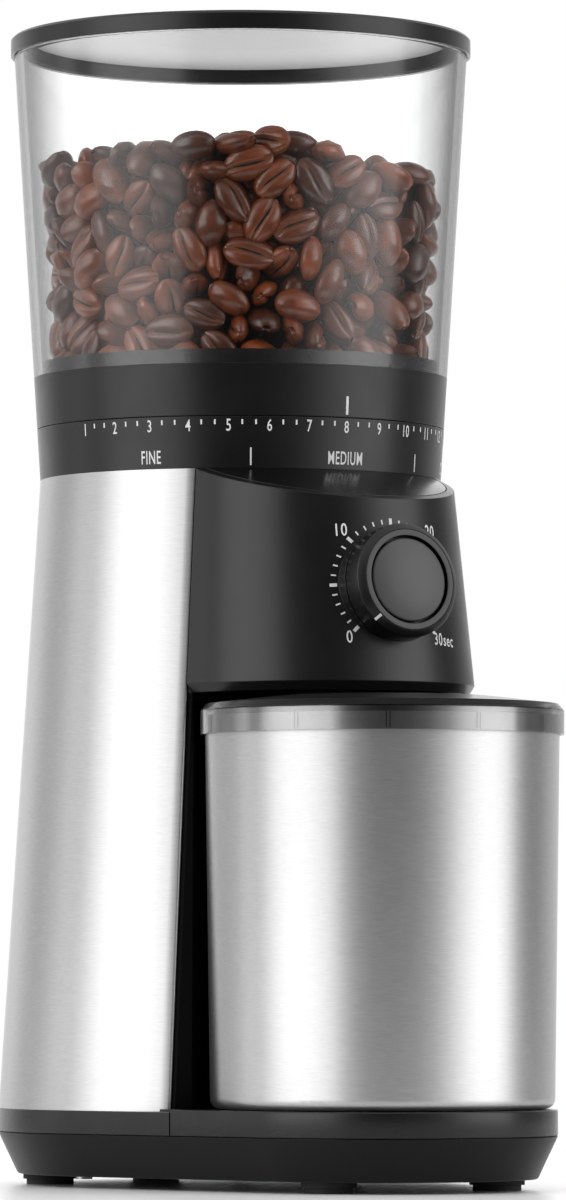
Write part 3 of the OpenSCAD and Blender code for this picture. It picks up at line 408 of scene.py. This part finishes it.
def deck_path(inset, z, steps=40):
    """The deck's closed outline: the seams, the tuck behind the steel's edges, the bay's round back and
    the round front."""
    y, inner = seam_y - seam_gap, ledge + seam_gap
    start = math.asin((steel_edge_y - bay_axis.y) / bay_round)
    cap = [bay_axis + Vector((bay_round * math.cos(t), bay_round * math.sin(t), z))
           for t in (start + (math.pi - 2 * start) * n / steps for n in range(steps + 1))]
    right = [(seam_x(inset, y), y), (seam_x(inner, y), y), (seam_x(inner, steel_edge_y), steel_edge_y)]
    path = [Vector((side_x, side_y, z)) for side_x, side_y in right] + cap
    path += [Vector((-side_x, side_y, z)) for side_x, side_y in reversed(right)]
    return path + front_arc(inset, z)


deck_outline = [
    (0.4 * mm, deck_low.z + band_lift), (0.1 * mm, deck_low.z + 0.25 * mm), (0.0, deck_low.z + 0.5 * mm),
    (0.0, deck_high.z - 0.9 * mm), (0.05 * mm, deck_high.z - 0.5 * mm),
    (0.25 * mm, deck_high.z - 0.15 * mm), (0.6 * mm, deck_high.z)]
deck_loops = [deck_path(inset, z) for inset, z in deck_outline]
deck = piece("deck_band", *lofted(deck_loops), "frame", "black_plastic", satin_black)
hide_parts("front_deck")

# Cord inlet
# A softer black plastic bush, pressed into the back of the skirt from outside, with the hole that a
# lead would leave by.
wear(moulded("bush_plastic", (0.012, 0.012, 0.012), 0.55), "cord_inlet")

# Steel shell
# One sheet of stainless steel rolled into a tapered column and brushed round its girth. Its two front
# edges are turned in over a small radius, and tuck in beside the black front.
shell_low, shell_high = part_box("steel_shell")
shell_foot_radius = (shell_high.x - shell_low.x) / 2
neck_radius = 71.6 * mm
sheet, edge_bend = 1.2 * mm, 0.9 * mm
edge_foot, edge_neck = 58.5 * mm, 52.2 * mm
levels, outer_steps, inner_steps = 40, 120, 60
sheet_loops = []
for level in range(levels + 1):
    part = level / levels
    radius = shell_foot_radius + (neck_radius - shell_foot_radius) * part
    edge = edge_foot + (edge_neck - edge_foot) * part
    opening = math.acos(edge / radius)
    lip = edge_bend / radius
    outer_sweep = 2 * math.pi - 2 * opening - 2 * lip
    inner_sweep = 2 * math.pi - 2 * opening
    z = shell_low.z + (shell_high.z - shell_low.z) * part
    half = [(opening, radius - sheet), (opening, radius - edge_bend),
            (opening + lip * 0.12, radius - 0.45 * mm), (opening + lip * 0.5, radius - 0.12 * mm),
            (opening + lip, radius)]
    outside = [(opening + lip + outer_sweep * k / outer_steps, radius) for k in range(1, outer_steps)]
    back = [(2 * math.pi - a, r) for a, r in reversed(half)]
    inside = [(2 * math.pi - opening - inner_sweep * k / inner_steps, radius - sheet)
              for k in range(1, inner_steps)]
    sheet_loops.append([burr_axis + Vector((r * math.sin(a), -r * math.cos(a), z))
                        for a, r in half + outside + back + inside])


def brushed(name, tone, shine, along, across, depth):
    """Brushed stainless: fine scratches that run round the part, with slightly uneven shine."""
    def build(tree):
        fine = spots(tree, across, 2.0, (across / along, across / along, 1))
        broad = spots(tree, 5 * across, 2.0, (2 * across / along, 2 * across / along, 1))
        scratch = fine * 0.75 + broad * 0.25
        return tree.node("BsdfPrincipled", {}, {
            "Base Color": mixed(scratch, grey(tone * 0.78), grey(tone * 1.22)),
            "Metallic": 1.0,
            "Roughness": shine + (scratch - 0.5) * 0.12,
            "Anisotropic": 0.6,
            "Anisotropic Rotation": 0.25,
            "Normal": eased(tree, scratch, depth),
        })
    return finish(name, build)


shell_steel = brushed("shell_steel", 0.5, 0.38, 4 * mm, 0.24 * mm, 0.004 * mm)
wear(shell_steel, "steel_shell")
steel_wrap = piece("steel_wrap", *lofted(sheet_loops), "frame", "steel_sheet", shell_steel)
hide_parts("steel_shell")

# Bay wall
# The matt black plastic wall between the shell's edges, hollowed to the container's round. It closes
# the column from the deck up to the head. It is darker and duller than the other blacks: painted shade
# for the recess it stands in.
wear(moulded("bay_black_painted_shade", (0.002, 0.002, 0.002), 0.6, gleam=0.08), "column_panel")

# Posts, plate and screws
# Four black posts stand on the pan and carry the top plate. Zinc-plated screws hold both ends, and the
# same screws hold the chamber and the ring burr.
wear(satin_black, "chassis_posts", "top_plate", "motor_cradle")


def machined(name, colour, shine, grain=0.3 * mm, spread=0.2):
    """Machined or plated metal with fine tool marks."""
    def build(tree):
        marks = spots(tree, grain, 2.0)
        stain = spots(tree, 6 * mm, 3.0)
        dark = tuple(c * 0.8 for c in colour) + (1,)
        return tree.node("BsdfPrincipled", {}, {
            "Base Color": mixed(stain, dark, (*colour, 1)),
            "Metallic": 1.0,
            "Roughness": shine + (stain - 0.5) * spread,
            "Normal": eased(tree, marks, 0.004 * mm, 0.15 * mm),
        })
    return finish(name, build)


zinc = machined("zinc_plate", (0.6, 0.6, 0.62), 0.35)
wear(zinc, "pan_screws", "plate_screws", "chamber_screws", "ring_burr_screws", "burr_nut", "knob_clip")

# Motor and gears
# A permanent-magnet motor hangs under the gear case on a rubber isolator. A brass pinion drives an
# acetal idler, which drives the wheel on the ground steel burr shaft.
wear(machined("motor_steel", (0.5, 0.51, 0.52), 0.4, 0.8 * mm), "motor_can")
wear(machined("copper_rotor", (0.6, 0.3, 0.16), 0.38, 0.5 * mm), "motor_rotor")
wear(machined("magnet_ferrite", (0.1, 0.1, 0.1), 0.6, 0.6 * mm), "motor_magnets")
wear(machined("brass_pinion", (0.72, 0.52, 0.22), 0.3), "motor_pinion")
wear(machined("ground_steel", (0.66, 0.66, 0.67), 0.22), "burr_shaft", "idler_pin", "upper_bearing",
     "lower_bearing")
wear(moulded("gear_acetal", (0.62, 0.59, 0.5), 0.42, 0.6 * mm), "idler_gear", "output_gear")
wear(foot_rubber, "motor_isolator")
inner_plastic = moulded("inner_plastic", (0.03, 0.03, 0.032), 0.5, 0.5 * mm, 0.01 * mm)
wear(inner_plastic, "gear_case", "gear_cover", "motor_end_cap")

# Grind chamber, chute and burrs
# Glass-filled mouldings round a pair of hardened steel burrs. The ring burr hangs in a carrier that the
# adjuster lifts, and the impeller sweeps the grounds into the chute.
wear(inner_plastic, "grind_chamber", "chute", "impeller", "ring_burr_carrier", "adjuster_ring")
wear(machined("burr_steel", (0.42, 0.43, 0.44), 0.3, 0.5 * mm), "cone_burr", "ring_burr")


# Boards and switches
# Two small green boards with black and grey parts on them: the timer behind the knob and the power
# board behind the motor, and the lever switch that the fitted hopper closes.
def lacquered(name, tone):
    """Solder lacquer over copper tracks."""
    def build(tree):
        cells = tree.node("TexVoronoi", {"feature": "DISTANCE_TO_EDGE"}, {
            "Vector": tree.node("TexCoord", {}, {}, "Object"), "Scale": 350.0})
        track = tree.node("MapRange", {}, {0: cells, 1: 0.05, 2: 0.12})
        lit = tuple(c * 2.2 for c in tone) + (1,)
        return tree.node("BsdfPrincipled", {}, {
            "Base Color": mixed(track, lit, (*tone, 1)), "Roughness": 0.3 + track * 0.1,
            "Normal": eased(tree, track, 0.03 * mm)})
    return finish(name, build)


wear(lacquered("board_lacquer", (0.01, 0.09, 0.035)), "control_board", "power_board")
wear(moulded("switch_plastic", (0.03, 0.03, 0.032), 0.45), "start_switch", "dial_encoder", "hopper_switch")

# Head and shoulder
# The black head carries the timer and overhangs the container. It is one satin moulding with a
# chamfer round its foot. The sloping shoulder on top is a gloss black inlay.
head_plastic = moulded("head_plastic", (0.0055, 0.0055, 0.0058), 0.3, edge=0.5 * mm)
wear(head_plastic, "head_housing")
gloss_black = moulded("gloss_black", (0.003, 0.003, 0.003), 0.22, depth=0.0005 * mm, gleam=0.45)
wear(gloss_black, "shoulder_trim")


# Dial print
# White print on the head round the knob: a tick for each second, a bold one for each fifth, and the
# numbers 0 to 30 with "sec". Tampo ink, a few hundredths of a millimetre thick.
def inked(name, tone):
    """Printed ink with slightly uneven cover."""
    def build(tree):
        cover = spots(tree, 0.5 * mm, 2.0)
        return tree.node("BsdfPrincipled", {}, {
            "Base Color": mixed(cover, grey(tone * 0.9), grey(tone)), "Roughness": 0.45 + cover * 0.1,
            "Normal": eased(tree, cover, 0.002 * mm)})
    return finish(name, build)


white_ink = inked("white_ink", 0.82)
ink_height = 0.03 * mm


def lettering(words, place):
    """Points and faces of printed words. Each word is (text, height, squeeze, x, y); place puts a flat
    spot and a height above the surface on the part."""
    verts, faces = [], []
    for text, height, squeeze, x, y in words:
        curve = bpy.data.curves.new("word", "FONT")
        curve.body, curve.align_x, curve.align_y = text, "CENTER", "CENTER"
        curve.extrude, curve.offset, curve.resolution_u, curve.space_character = 0.5, 0.008, 4, 1.12
        word = bpy.data.objects.new("word", curve)
        bpy.context.scene.collection.objects.link(word)
        mesh = word.evaluated_get(bpy.context.evaluated_depsgraph_get()).to_mesh()
        corners = [v.co.copy() for v in mesh.vertices]
        top, foot = max(v.y for v in corners), min(v.y for v in corners)
        left, right = min(v.x for v in corners), max(v.x for v in corners)
        size = height / (top - foot)
        first = len(verts)
        for v in corners:
            flat = (v.x - (left + right) / 2) * size * squeeze, (v.y - (top + foot) / 2) * size
            verts.append(place(x + flat[0], y + flat[1], ink_height if v.z > 0 else -ink_height))
        faces += [tuple(first + n for n in face.vertices) for face in mesh.polygons]
        bpy.data.objects.remove(word)
        bpy.data.curves.remove(curve)
    return verts, faces


box_faces = ((3, 2, 1, 0), (4, 5, 6, 7), (0, 1, 5, 4), (1, 2, 6, 5), (2, 3, 7, 6), (3, 0, 4, 7))


def dashes(marks, place):
    """Points and faces of short printed strokes. Each mark is (x, y, width, length, turn)."""
    verts, faces = [], []
    for x, y, width, length, turn in marks:
        first = len(verts)
        for lift in (-ink_height, ink_height):
            for u, v in ((-1, -1), (1, -1), (1, 1), (-1, 1)):
                u, v = u * width / 2, v * length / 2
                verts.append(place(x + u * math.cos(turn) + v * math.sin(turn),
                                   y - u * math.sin(turn) + v * math.cos(turn), lift))
        faces += [tuple(first + n for n in face) for face in box_faces]
    return verts, faces


def joined(*parts):
    """Several lots of points and faces as one."""
    verts, faces = [], []
    for more_verts, more_faces in parts:
        faces += [tuple(len(verts) + n for n in face) for face in more_faces]
        verts += more_verts
    return verts, faces


timer_dial = next(j for j in frame["joints"] if j["name"] == "timer_dial")
face_out = -Vector(timer_dial["axis"]).normalized()
face_up = face_out.cross(Vector((1, 0, 0)))
face_centre = Vector(timer_dial["pos_m"])
head_mesh = frame["nodes"]["head_housing"].data
head_tree = BVHTree.FromPolygons([v.co for v in head_mesh.vertices],
                                 [p.vertices for p in head_mesh.polygons])


def on_head(x, y, lift):
    """A spot on the head's face, x to the right and y up from the knob's centre."""
    start = face_centre + Vector((x, 0, 0)) + face_up * y + face_out * 30 * mm
    return head_tree.ray_cast(start, -face_out)[0] + face_out * lift


tick_ring, first_second, second_turn = 22 * mm, math.radians(-135), math.radians(9)
ticks = []
for second in range(31):
    turn = first_second + second * second_turn
    wide, long = (1.15 * mm, 2.3 * mm) if second % 5 == 0 else (0.55 * mm, 1.6 * mm)
    ticks.append((tick_ring * math.sin(turn), tick_ring * math.cos(turn), wide, long, turn))
digit = 4.4 * mm
seconds = [
    ("0", digit, 0.72, -18.0 * mm, -18.2 * mm), ("10", digit, 0.72, -18.1 * mm, 19.3 * mm),
    ("20", digit, 0.72, 17.7 * mm, 19.7 * mm), ("30", digit, 0.66, 18.2 * mm, -18.2 * mm),
    ("sec", 2.9 * mm, 0.66, 23.6 * mm, -18.9 * mm),
]
piece("dial_print", *joined(dashes(ticks, on_head), lettering(seconds, on_head)), "frame", "button_plastic",
      white_ink)

# Scale ring and its print
# The fixed black ring on the neck, with the grind settings 1 to 15 printed just under its top edge,
# two ticks between neighbours, and the words for fine, medium and coarse below them.
ring_plastic = moulded("ring_plastic", (0.0055, 0.0055, 0.0055), 0.3, edge=0.4 * mm)
wear(ring_plastic, "scale_ring", "pointer_ring")
hopper_low_radius = (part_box("pointer_ring")[1].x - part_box("pointer_ring")[0].x) / 2
ring_top, neck_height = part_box("pointer_ring")[1].z, shell_high.z
print_radius = 73 * mm
setting_turn, word_turn, divider_turn = math.radians(11.35), math.radians(56.5), math.radians(27.9)


def on_ring(turn, z, lift):
    """A spot on the rings, at an angle right of the front and a height."""
    radius = neck_radius + (hopper_low_radius - neck_radius) * (z - neck_height) / (ring_top - neck_height)
    radius += lift
    return burr_axis + Vector((radius * math.sin(turn), -radius * math.cos(turn), z))


def ring_print(x, y, lift):
    """The same from a width along the print instead of an angle."""
    return on_ring(x / print_radius, y, lift)


digit_level, tick_level, word_level = 265.4 * mm, 266.5 * mm, 254.5 * mm
digit_high, word_high, middle = 4.2 * mm, 4.6 * mm, 8
settings = [(str(n), digit_high, 0.68, (n - middle) * setting_turn * print_radius, digit_level)
            for n in range(1, 16)]
grind_words = [("FINE", word_high, 0.55, -word_turn * print_radius, word_level),
               ("MEDIUM", word_high, 0.55, 0, word_level),
               ("COARSE", word_high, 0.60, word_turn * print_radius, word_level)]
scale_marks = [((n - middle + third / 3) * setting_turn * print_radius, tick_level, 0.6 * mm, 1.7 * mm, 0)
               for n in range(1, 15) for third in (1, 2)]
scale_marks += [(side * divider_turn * print_radius, word_level, 0.55 * mm, 6.2 * mm, 0)
                for side in (-1, 1)]
scale_words = lettering(settings + grind_words, ring_print)
piece("scale_print", *joined(scale_words, dashes(scale_marks, ring_print)), "frame", "button_plastic",
      white_ink)

# Pointer line
# One white line printed on the turning ring, which rises from the split between the rings and turns
# with the hopper.
pointer_stroke = (0, 272.9 * mm, 0.95 * mm, 6.4 * mm, 0)
piece("pointer_line", *dashes([pointer_stroke], ring_print), "hopper", "button_plastic", white_ink)


# Timer knob
# A black plastic skirt with a narrow bevel, and a thin dark grey metal bezel let into its front. The hub
# runs back through the face and is held by a clip.
def turned(outline, at=Matrix.Identity(4), steps=160):
    """Points and faces of an outline of (radius, height) points turned round the axis of at."""
    loops = []
    for n in range(steps):
        turn = 2 * math.pi * n / steps
        loops.append([at @ Vector((r * math.cos(turn), r * math.sin(turn), h)) for r, h in outline])
    return lofted(loops, True)


knob_frame = Matrix((
    (1, face_up.x, face_out.x, face_centre.x), (0, face_up.y, face_out.y, face_centre.y),
    (0, face_up.z, face_out.z, face_centre.z), (0, 0, 0, 1)))
knob_plastic = moulded("knob_plastic", (0.0055, 0.0055, 0.0058), 0.3, edge=0)
knob_outline = rounded(in_mm([
    (6.1, -9.4), (9, -9.4), (9, 0.3), (20.0, 0.3, 0.3), (20.0, 7.9, 0.25), (17.75, 9.75, 0.15), (17.6, 9.5),
    (17.6, 7.2), (15.4, 7.2), (15.4, 5.0), (6.1, 5.0)]))
timer_knob = piece("knob_skirt", *turned(knob_outline, knob_frame), "knob", "knob_plastic", knob_plastic)
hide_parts("timer_knob")
bezel_grey = machined("bezel_grey", (0.05, 0.05, 0.051), 0.34, 0.2 * mm, 0.08)
bezel_outline = rounded(in_mm([(17.6, 7.2), (17.6, 9.8, 0.25), (15.4, 9.8, 0.25), (15.4, 7.2)]))
piece("knob_bezel", *turned(bezel_outline, knob_frame), "knob", "knob_plastic", bezel_grey)


def on_bevel(x, y, lift):
    """A spot on the knob's bevel, which slopes back from the bezel."""
    bevel_start, bevel_top, bevel_slope = 17.7 * mm, 9.77 * mm, 1.85 / 2.25
    back = (math.hypot(x, y) - bevel_start) * bevel_slope
    return knob_frame @ Vector((x, y, bevel_top - back + lift))


mark_ring = 18.9 * mm
mark_stroke = (mark_ring * math.sin(first_second), mark_ring * math.cos(first_second), 1.0 * mm, 2.2 * mm,
               first_second)
piece("knob_mark", *dashes([mark_stroke], on_bevel), "knob", "button_plastic", white_ink)

# Start button
# The slightly crowned cap in the middle of the knob, a black plastic moulding in satin paint. Its stem
# slides in the knob's hub, and the plunger behind it presses the start switch.
cap_outline = rounded(in_mm([
    (0, -12.7), (1.75, -12.7), (1.75, -8.4), (6, -8.4), (6, 7.0), (14.6, 7.0), (14.6, 9.1, 0.4),
    (14.2, 9.4, 0.3), (9, 10.5, 5), (0, 11.2)]))
button_satin = moulded("button_satin", (0.03, 0.03, 0.031), 0.4, edge=0, gleam=0.6)
start_button = piece("button_cap", *turned(cap_outline, knob_frame), "button", "button_plastic",
                     button_satin)
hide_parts("start_button")


# Hopper
# A clear styrene funnel wall, 3 mm thick, glued to the turning ring. The black funnel inside its foot
# leads to the shutter.
def clear_plastic(name, tint, grazing_shade, bend, haze, gloss=0.0, edge=0.0, crown_from=1.0):
    """Clear plastic with faint flow marks, with painted shade where it is looked along and above
    crown_from.
    Lamps shine through it."""
    def build(tree):
        flow = spots(tree, 30 * mm, 1.0)
        slant = tree.node("LayerWeight", {}, {"Blend": 0.5}, "Facing")
        place = tree.node("TexCoord", {}, {}, "Object")
        # Painted shade: above crown_from the lid turns dark grey and loses its coat, for the dark
        # reflection its crown shows
        crown = tree.node("SeparateXYZ", {}, {0: place}, "Z") > crown_from
        crown_shade = (0.12, 0.12, 0.122, 1)
        body = mixed(flow, (*(c * haze for c in tint), 1), (*tint, 1))
        body = mixed(crown, body, crown_shade)
        glass = tree.node("BsdfPrincipled", {}, {
            "Base Color": mixed(slant * slant, body, (*grazing_shade, 1)),
            "Roughness": 0.0,
            "Transmission Weight": 1.0,
            "IOR": bend,
            "Coat Weight": gloss * (1 - crown),
            "Coat Roughness": 0.0,
            "Coat IOR": 2.1,
            "Normal": eased(tree, flow, 0.02 * mm, edge),
        })
        # Painted shade: a dark opaque shader takes over where the wall is looked along, for the dark edges
        # clear walls show there
        side = tree.node("BsdfPrincipled", {}, {"Base Color": grey(0.01), "Roughness": 0.3})
        glass = tree.node("MixShader", {}, {0: slant ** 3.4, 1: glass, 2: side})
        open_air = tree.node("BsdfTransparent", {}, {"Color": (*tint, 1)})
        lamp_ray = tree.node("LightPath", {}, {}, "Is Shadow Ray")
        diffuse_ray = tree.node("LightPath", {}, {}, "Is Diffuse Ray")
        return tree.node("MixShader", {}, {0: lamp_ray + diffuse_ray, 1: glass, 2: open_air})
    return finish(name, build)


clear_styrene = clear_plastic("clear_styrene", (0.985, 0.988, 0.988), (0.1, 0.1, 0.105), 1.3, 0.99)
wear(clear_styrene, "hopper_wall")
wear(satin_black, "hopper_funnel")
wear(inner_plastic, "hopper_shutter")

# Coffee beans
# A heap of roasted beans that fills the lower two thirds of the hopper: glossy, oily, with a seam
# along the flat side. They ride with the hopper.
bean_long, bean_wide, bean_deep = 8.5 * mm, 5.9 * mm, 4.8 * mm
bean_count, heap_floor, heap_top = 640, 286 * mm, 366 * mm
heap_slope, heap_dip, hump_high, hump_at, hump_wide = 0.045, 1.5, 6.5 * mm, 8, 30
hopper_thick, wall_gap = 3 * mm, 3 * mm
hopper_wide = (hopper_high.x - hopper_low.x) / 2
wall_lean = (hopper_wide - hopper_low_radius) / (hopper_high.z - hopper_low.z)
draw = np.random.default_rng(7)


def heap_level(x, y):
    """Height of the heap's top over a spot, measured from the hopper's axis: a low hump on a gentle
    slope down to the right."""
    across = (x * look_right.x + y * look_right.y) / mm
    hump = hump_high * np.exp(-(((across - hump_at) / hump_wide) ** 2))
    return heap_top - (across * heap_slope + heap_dip) * mm + hump


def inner_radius(z):
    """How far out the beans reach at a height."""
    return hopper_low_radius + wall_lean * (z - hopper_low.z) - hopper_thick - wall_gap


# Each bean is two touching balls while they settle: random places in a shell behind the wall and under
# the top, then many small pushes apart and back inside.
shell_depth, top_depth, ball, reach = 21 * mm, 20 * mm, 4.9 * mm, 3.3 * mm
widest, settling_steps = 76 * mm, 90
centres = []
while len(centres) < bean_count:
    x, y = draw.uniform(-widest, widest, 2)
    z = draw.uniform(heap_floor, heap_top + 5 * mm)
    out = math.hypot(x, y)
    if out > inner_radius(z) - ball or z > heap_level(x, y) - ball:
        continue
    if out < inner_radius(z) - shell_depth and z < heap_level(x, y) - top_depth:
        continue
    centres.append((x, y, z))
centres = np.array(centres)
directions = draw.normal(size=centres.shape)
directions /= np.linalg.norm(directions, axis=1)[:, None]
own = np.arange(bean_count)
for step in range(settling_steps):
    balls = np.concatenate((centres + directions * reach, centres - directions * reach))
    gaps = balls[:, None] - balls[None]
    apart = np.sqrt((gaps ** 2).sum(2)) + 1e-9
    push = np.clip(2 * ball - apart, 0, None)
    push[own, own + bean_count] = 0
    push[own + bean_count, own] = 0
    np.fill_diagonal(push, 0)
    moves = (gaps / apart[..., None] * push[..., None]).sum(1) * 0.3
    balls += moves
    out = np.hypot(balls[:, 0], balls[:, 1])
    limit = inner_radius(balls[:, 2]) - ball
    pull = np.where(out > limit, limit / out, 1)
    core = limit - shell_depth + ball
    deep = balls[:, 2] < heap_level(balls[:, 0], balls[:, 1]) - top_depth
    pull = np.where((out < core) & deep, 1 + (core / out - 1) * 0.2, pull)
    balls[:, :2] *= pull[:, None]
    balls[:, 2] = np.clip(balls[:, 2], heap_floor + ball, heap_level(balls[:, 0], balls[:, 1]) - ball)
    ends = balls[:bean_count] - balls[bean_count:]
    centres = (balls[:bean_count] + balls[bean_count:]) / 2
    directions = ends / np.linalg.norm(ends, axis=1)[:, None]

# One bean, long way along x, flat seamed side down
seam_turns = [0, 7, 14, 25, 42, 66, 95, 135, 180]
turns = [math.radians(-90 + t) for t in seam_turns]
turns += [math.radians(-90 - t) for t in reversed(seam_turns[1:-1])]
bean_rings, flat_side, seam_wave, seam_wide, seam_deep = 11, 0.62, 0.45 * mm, 0.75 * mm, 1.5 * mm
bean_verts, bean_faces, bean_seam = [], [], []
for n in range(1, bean_rings + 1):
    u = -math.cos(math.pi * n / (bean_rings + 1))
    girth = (1 - u * u) ** 0.5
    for t in turns:
        y = bean_wide * girth * math.cos(t)
        z = bean_deep * girth * math.sin(t)
        seam = 0
        if z < 0:
            z *= flat_side
            seam = math.exp(-((y - seam_wave * math.sin(math.pi * u)) / seam_wide) ** 2)
        bean_verts.append((bean_long * u, y, z + seam * seam_deep * girth))
        bean_seam.append(seam * girth)
around = len(turns)
for n in range(bean_rings - 1):
    for k in range(around):
        m = (k + 1) % around
        bean_faces.append((n * around + k, n * around + m, (n + 1) * around + m, (n + 1) * around + k))
for end, row in ((-1, 0), (1, bean_rings - 1)):
    bean_verts.append((end * bean_long, 0, 0))
    bean_seam.append(0)
    for k in range(around):
        bean_faces.append((row * around + k, row * around + (k + 1) % around, len(bean_verts) - 1))

bean_verts = np.array(bean_verts)
heap_verts, heap_faces, heap_tones = [], [], []
for centre, direction in zip(centres, directions):
    out = Vector((centre[0], centre[1], 0)).normalized()
    if centre[2] > heap_level(centre[0], centre[1]) - 9 * mm and draw.random() < 0.6:
        out = Vector((0, 0, 1))
    along = Vector(direction)
    up = (out * (1 if draw.random() < 0.5 else -1) + Vector(draw.normal(size=3) * 0.35))
    side = up.cross(along).normalized()
    up = along.cross(side).normalized()
    size = draw.uniform(0.9, 1.1)
    spin = np.array([along, side, up]).T * size
    heap_verts.append(bean_verts @ spin.T + centre + np.array(burr_axis))
    heap_faces += [tuple(len(heap_tones) + n for n in face) for face in bean_faces]
    tone = draw.uniform(0, 1)
    heap_tones += [(tone, seam, 0, 1) for seam in bean_seam]
heap_verts = np.concatenate(heap_verts)


def roasted(tree):
    """Roasted bean skin: brown, oily, paler and rough in the seam with painted shade down its middle,
    darker where it is scorched.
    """
    kept = tree.node("Attribute", {"attribute_name": "bean_tone"}, {}, "Color")
    tone = tree.node("SeparateColor", {}, {0: kept}, "Red")
    seam = tree.node("SeparateColor", {}, {0: kept}, "Green")
    scorch = spots(tree, 5 * mm, 3.0)
    wrinkle = spots(tree, 1.8 * mm, 2.0)
    skin = mixed(tone, (0.06, 0.011, 0.002, 1), (0.36, 0.075, 0.014, 1))
    skin = mixed(scorch, (0.015, 0.004, 0.0015, 1), skin)
    skin = mixed(seam, skin, (0.16, 0.055, 0.02, 1))
    # Painted shade: the middle of the seam's crease is near black
    skin = mixed(seam > 0.72, skin, (0.006, 0.002, 0.001, 1))
    return tree.node("BsdfPrincipled", {}, {
        "Base Color": skin,
        "Roughness": 0.38 + seam * 0.35 + (scorch - 0.5) * 0.2,
        "Specular IOR Level": 0.25,
        "Coat Weight": 0.8 - seam * 0.8,
        "Coat Roughness": 0.12,
        "Normal": eased(tree, wrinkle, 0.09 * mm),
    })


bean_skin = finish("roasted_bean", roasted)
beans = bpy.data.meshes.new("coffee_beans")
beans.from_pydata(heap_verts.tolist(), [], heap_faces)
tones = beans.attributes.new("bean_tone", "FLOAT_COLOR", "POINT")
tones.data.foreach_set("color", np.array(heap_tones, dtype=np.float32).ravel())
beans.shade_smooth()
beans.materials.append(bean_skin)
coffee_beans = bpy.data.objects.new("coffee_beans", beans)
bpy.context.scene.collection.objects.link(coffee_beans)
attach(coffee_beans, "hopper")

# The hidden middle of the heap, a dark mound that keeps light from shining through; its near-black colour
# is painted shade for the beans deep inside
core_outline = rounded(in_mm([(0, 286.5), (52, 286.5, 2), (60, 345, 6), (0, 352)]))
core_frame = Matrix.Translation(burr_axis)


def grounds(tree):
    """Painted shade for the heap's hidden middle: dark, dull and lumpy."""
    lump = spots(tree, 9 * mm, 3.0)
    return tree.node("BsdfPrincipled", {}, {
        "Base Color": mixed(lump, (0.004, 0.002, 0.001, 1), (0.02, 0.008, 0.004, 1)), "Roughness": 0.8,
        "Normal": eased(tree, lump, 1 * mm)})


bean_shade = finish("bean_shade", grounds)
piece("bean_core", *turned(core_outline, core_frame, 64), "hopper", "inner_plastic", bean_shade)

# Hopper lid
# A low black dome with an upright rim. Its underside holds a pale grey liner and a ribbed rubber skirt
# that grips the hopper's mouth.
wear(moulded("lid_plastic", (0.0055, 0.0055, 0.0058), 0.3), "hopper_lid")


def pearly(tree):
    """Pale liner moulding with a painted glow: a faint white emission stands in for the light in the hopper
    that falls on it.
    """
    cloud = spots(tree, 12 * mm, 2.0)
    return tree.node("BsdfPrincipled", {}, {
        "Base Color": mixed(cloud, (0.8, 0.81, 0.82, 1), (0.86, 0.87, 0.88, 1)), "Roughness": 0.35,
        # Painted glow: a faint white emission, though the liner is no lamp
        "Emission Color": (1, 1, 1, 1), "Emission Strength": 0.16,
        "Normal": eased(tree, spots(tree, 0.4 * mm, 1.0), 0.004 * mm)})


wear(finish("liner_grey", pearly), "lid_liner")
wear(foot_rubber, "lid_seal")

# Container
# A drawn stainless steel cup with a rounded foot, brushed round its girth like the shell. It stands
# loose on the deck and slides out forwards.
cup_steel = brushed("cup_steel", 0.5, 0.38, 4 * mm, 0.24 * mm, 0.003 * mm)
wear(cup_steel, "container")

# Container lid
# A smoked clear moulding, a shallow crown with a skirt outside the mouth, open above for the grounds.
# Pairs of small upright ribs inside the skirt centre it on the cup.
lid_low, lid_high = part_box("container_lid")
smoked_styrene = clear_plastic("smoked_styrene", (0.5, 0.5, 0.505), (0.08, 0.08, 0.08), 1.25, 0.95, 0.9,
                               0.4 * mm, lid_low.z + 8 * mm)
wear(smoked_styrene, "container_lid")
lid_round = (lid_high.x - lid_low.x) / 2
mouth_round = (container_high.x - container_low.x) / 2
rib_in, rib_out = mouth_round + 0.05 * mm, lid_round - 1.25 * mm
rib_wide, rib_pair = 0.35 * mm, 1.3 * mm
rib_low, rib_high = lid_low.z + 0.6 * mm, lid_low.z + 6 * mm
rib_verts, rib_faces = [], []
for degrees in (-150, -120, -90, -60, -30):
    for pair in (-1, 1):
        turn = math.radians(degrees) + pair * rib_pair / 2 / lid_round
        out = Vector((math.cos(turn), math.sin(turn), 0))
        along = Vector((-math.sin(turn), math.cos(turn), 0))
        first = len(rib_verts)
        for z in (rib_low, rib_high):
            for r, w in ((rib_in, -1), (rib_out, -1), (rib_out, 1), (rib_in, 1)):
                rib_verts.append(bay_axis + out * r + along * w * rib_wide / 2 + Vector((0, 0, z)))
        rib_faces += [tuple(first + n for n in face) for face in box_faces]
rib_smoke = moulded("rib_smoke", (0.012, 0.012, 0.0125), 0.2, edge=0)
piece("lid_ribs", rib_verts, rib_faces, "cup_lid", "smoked_clear", rib_smoke)
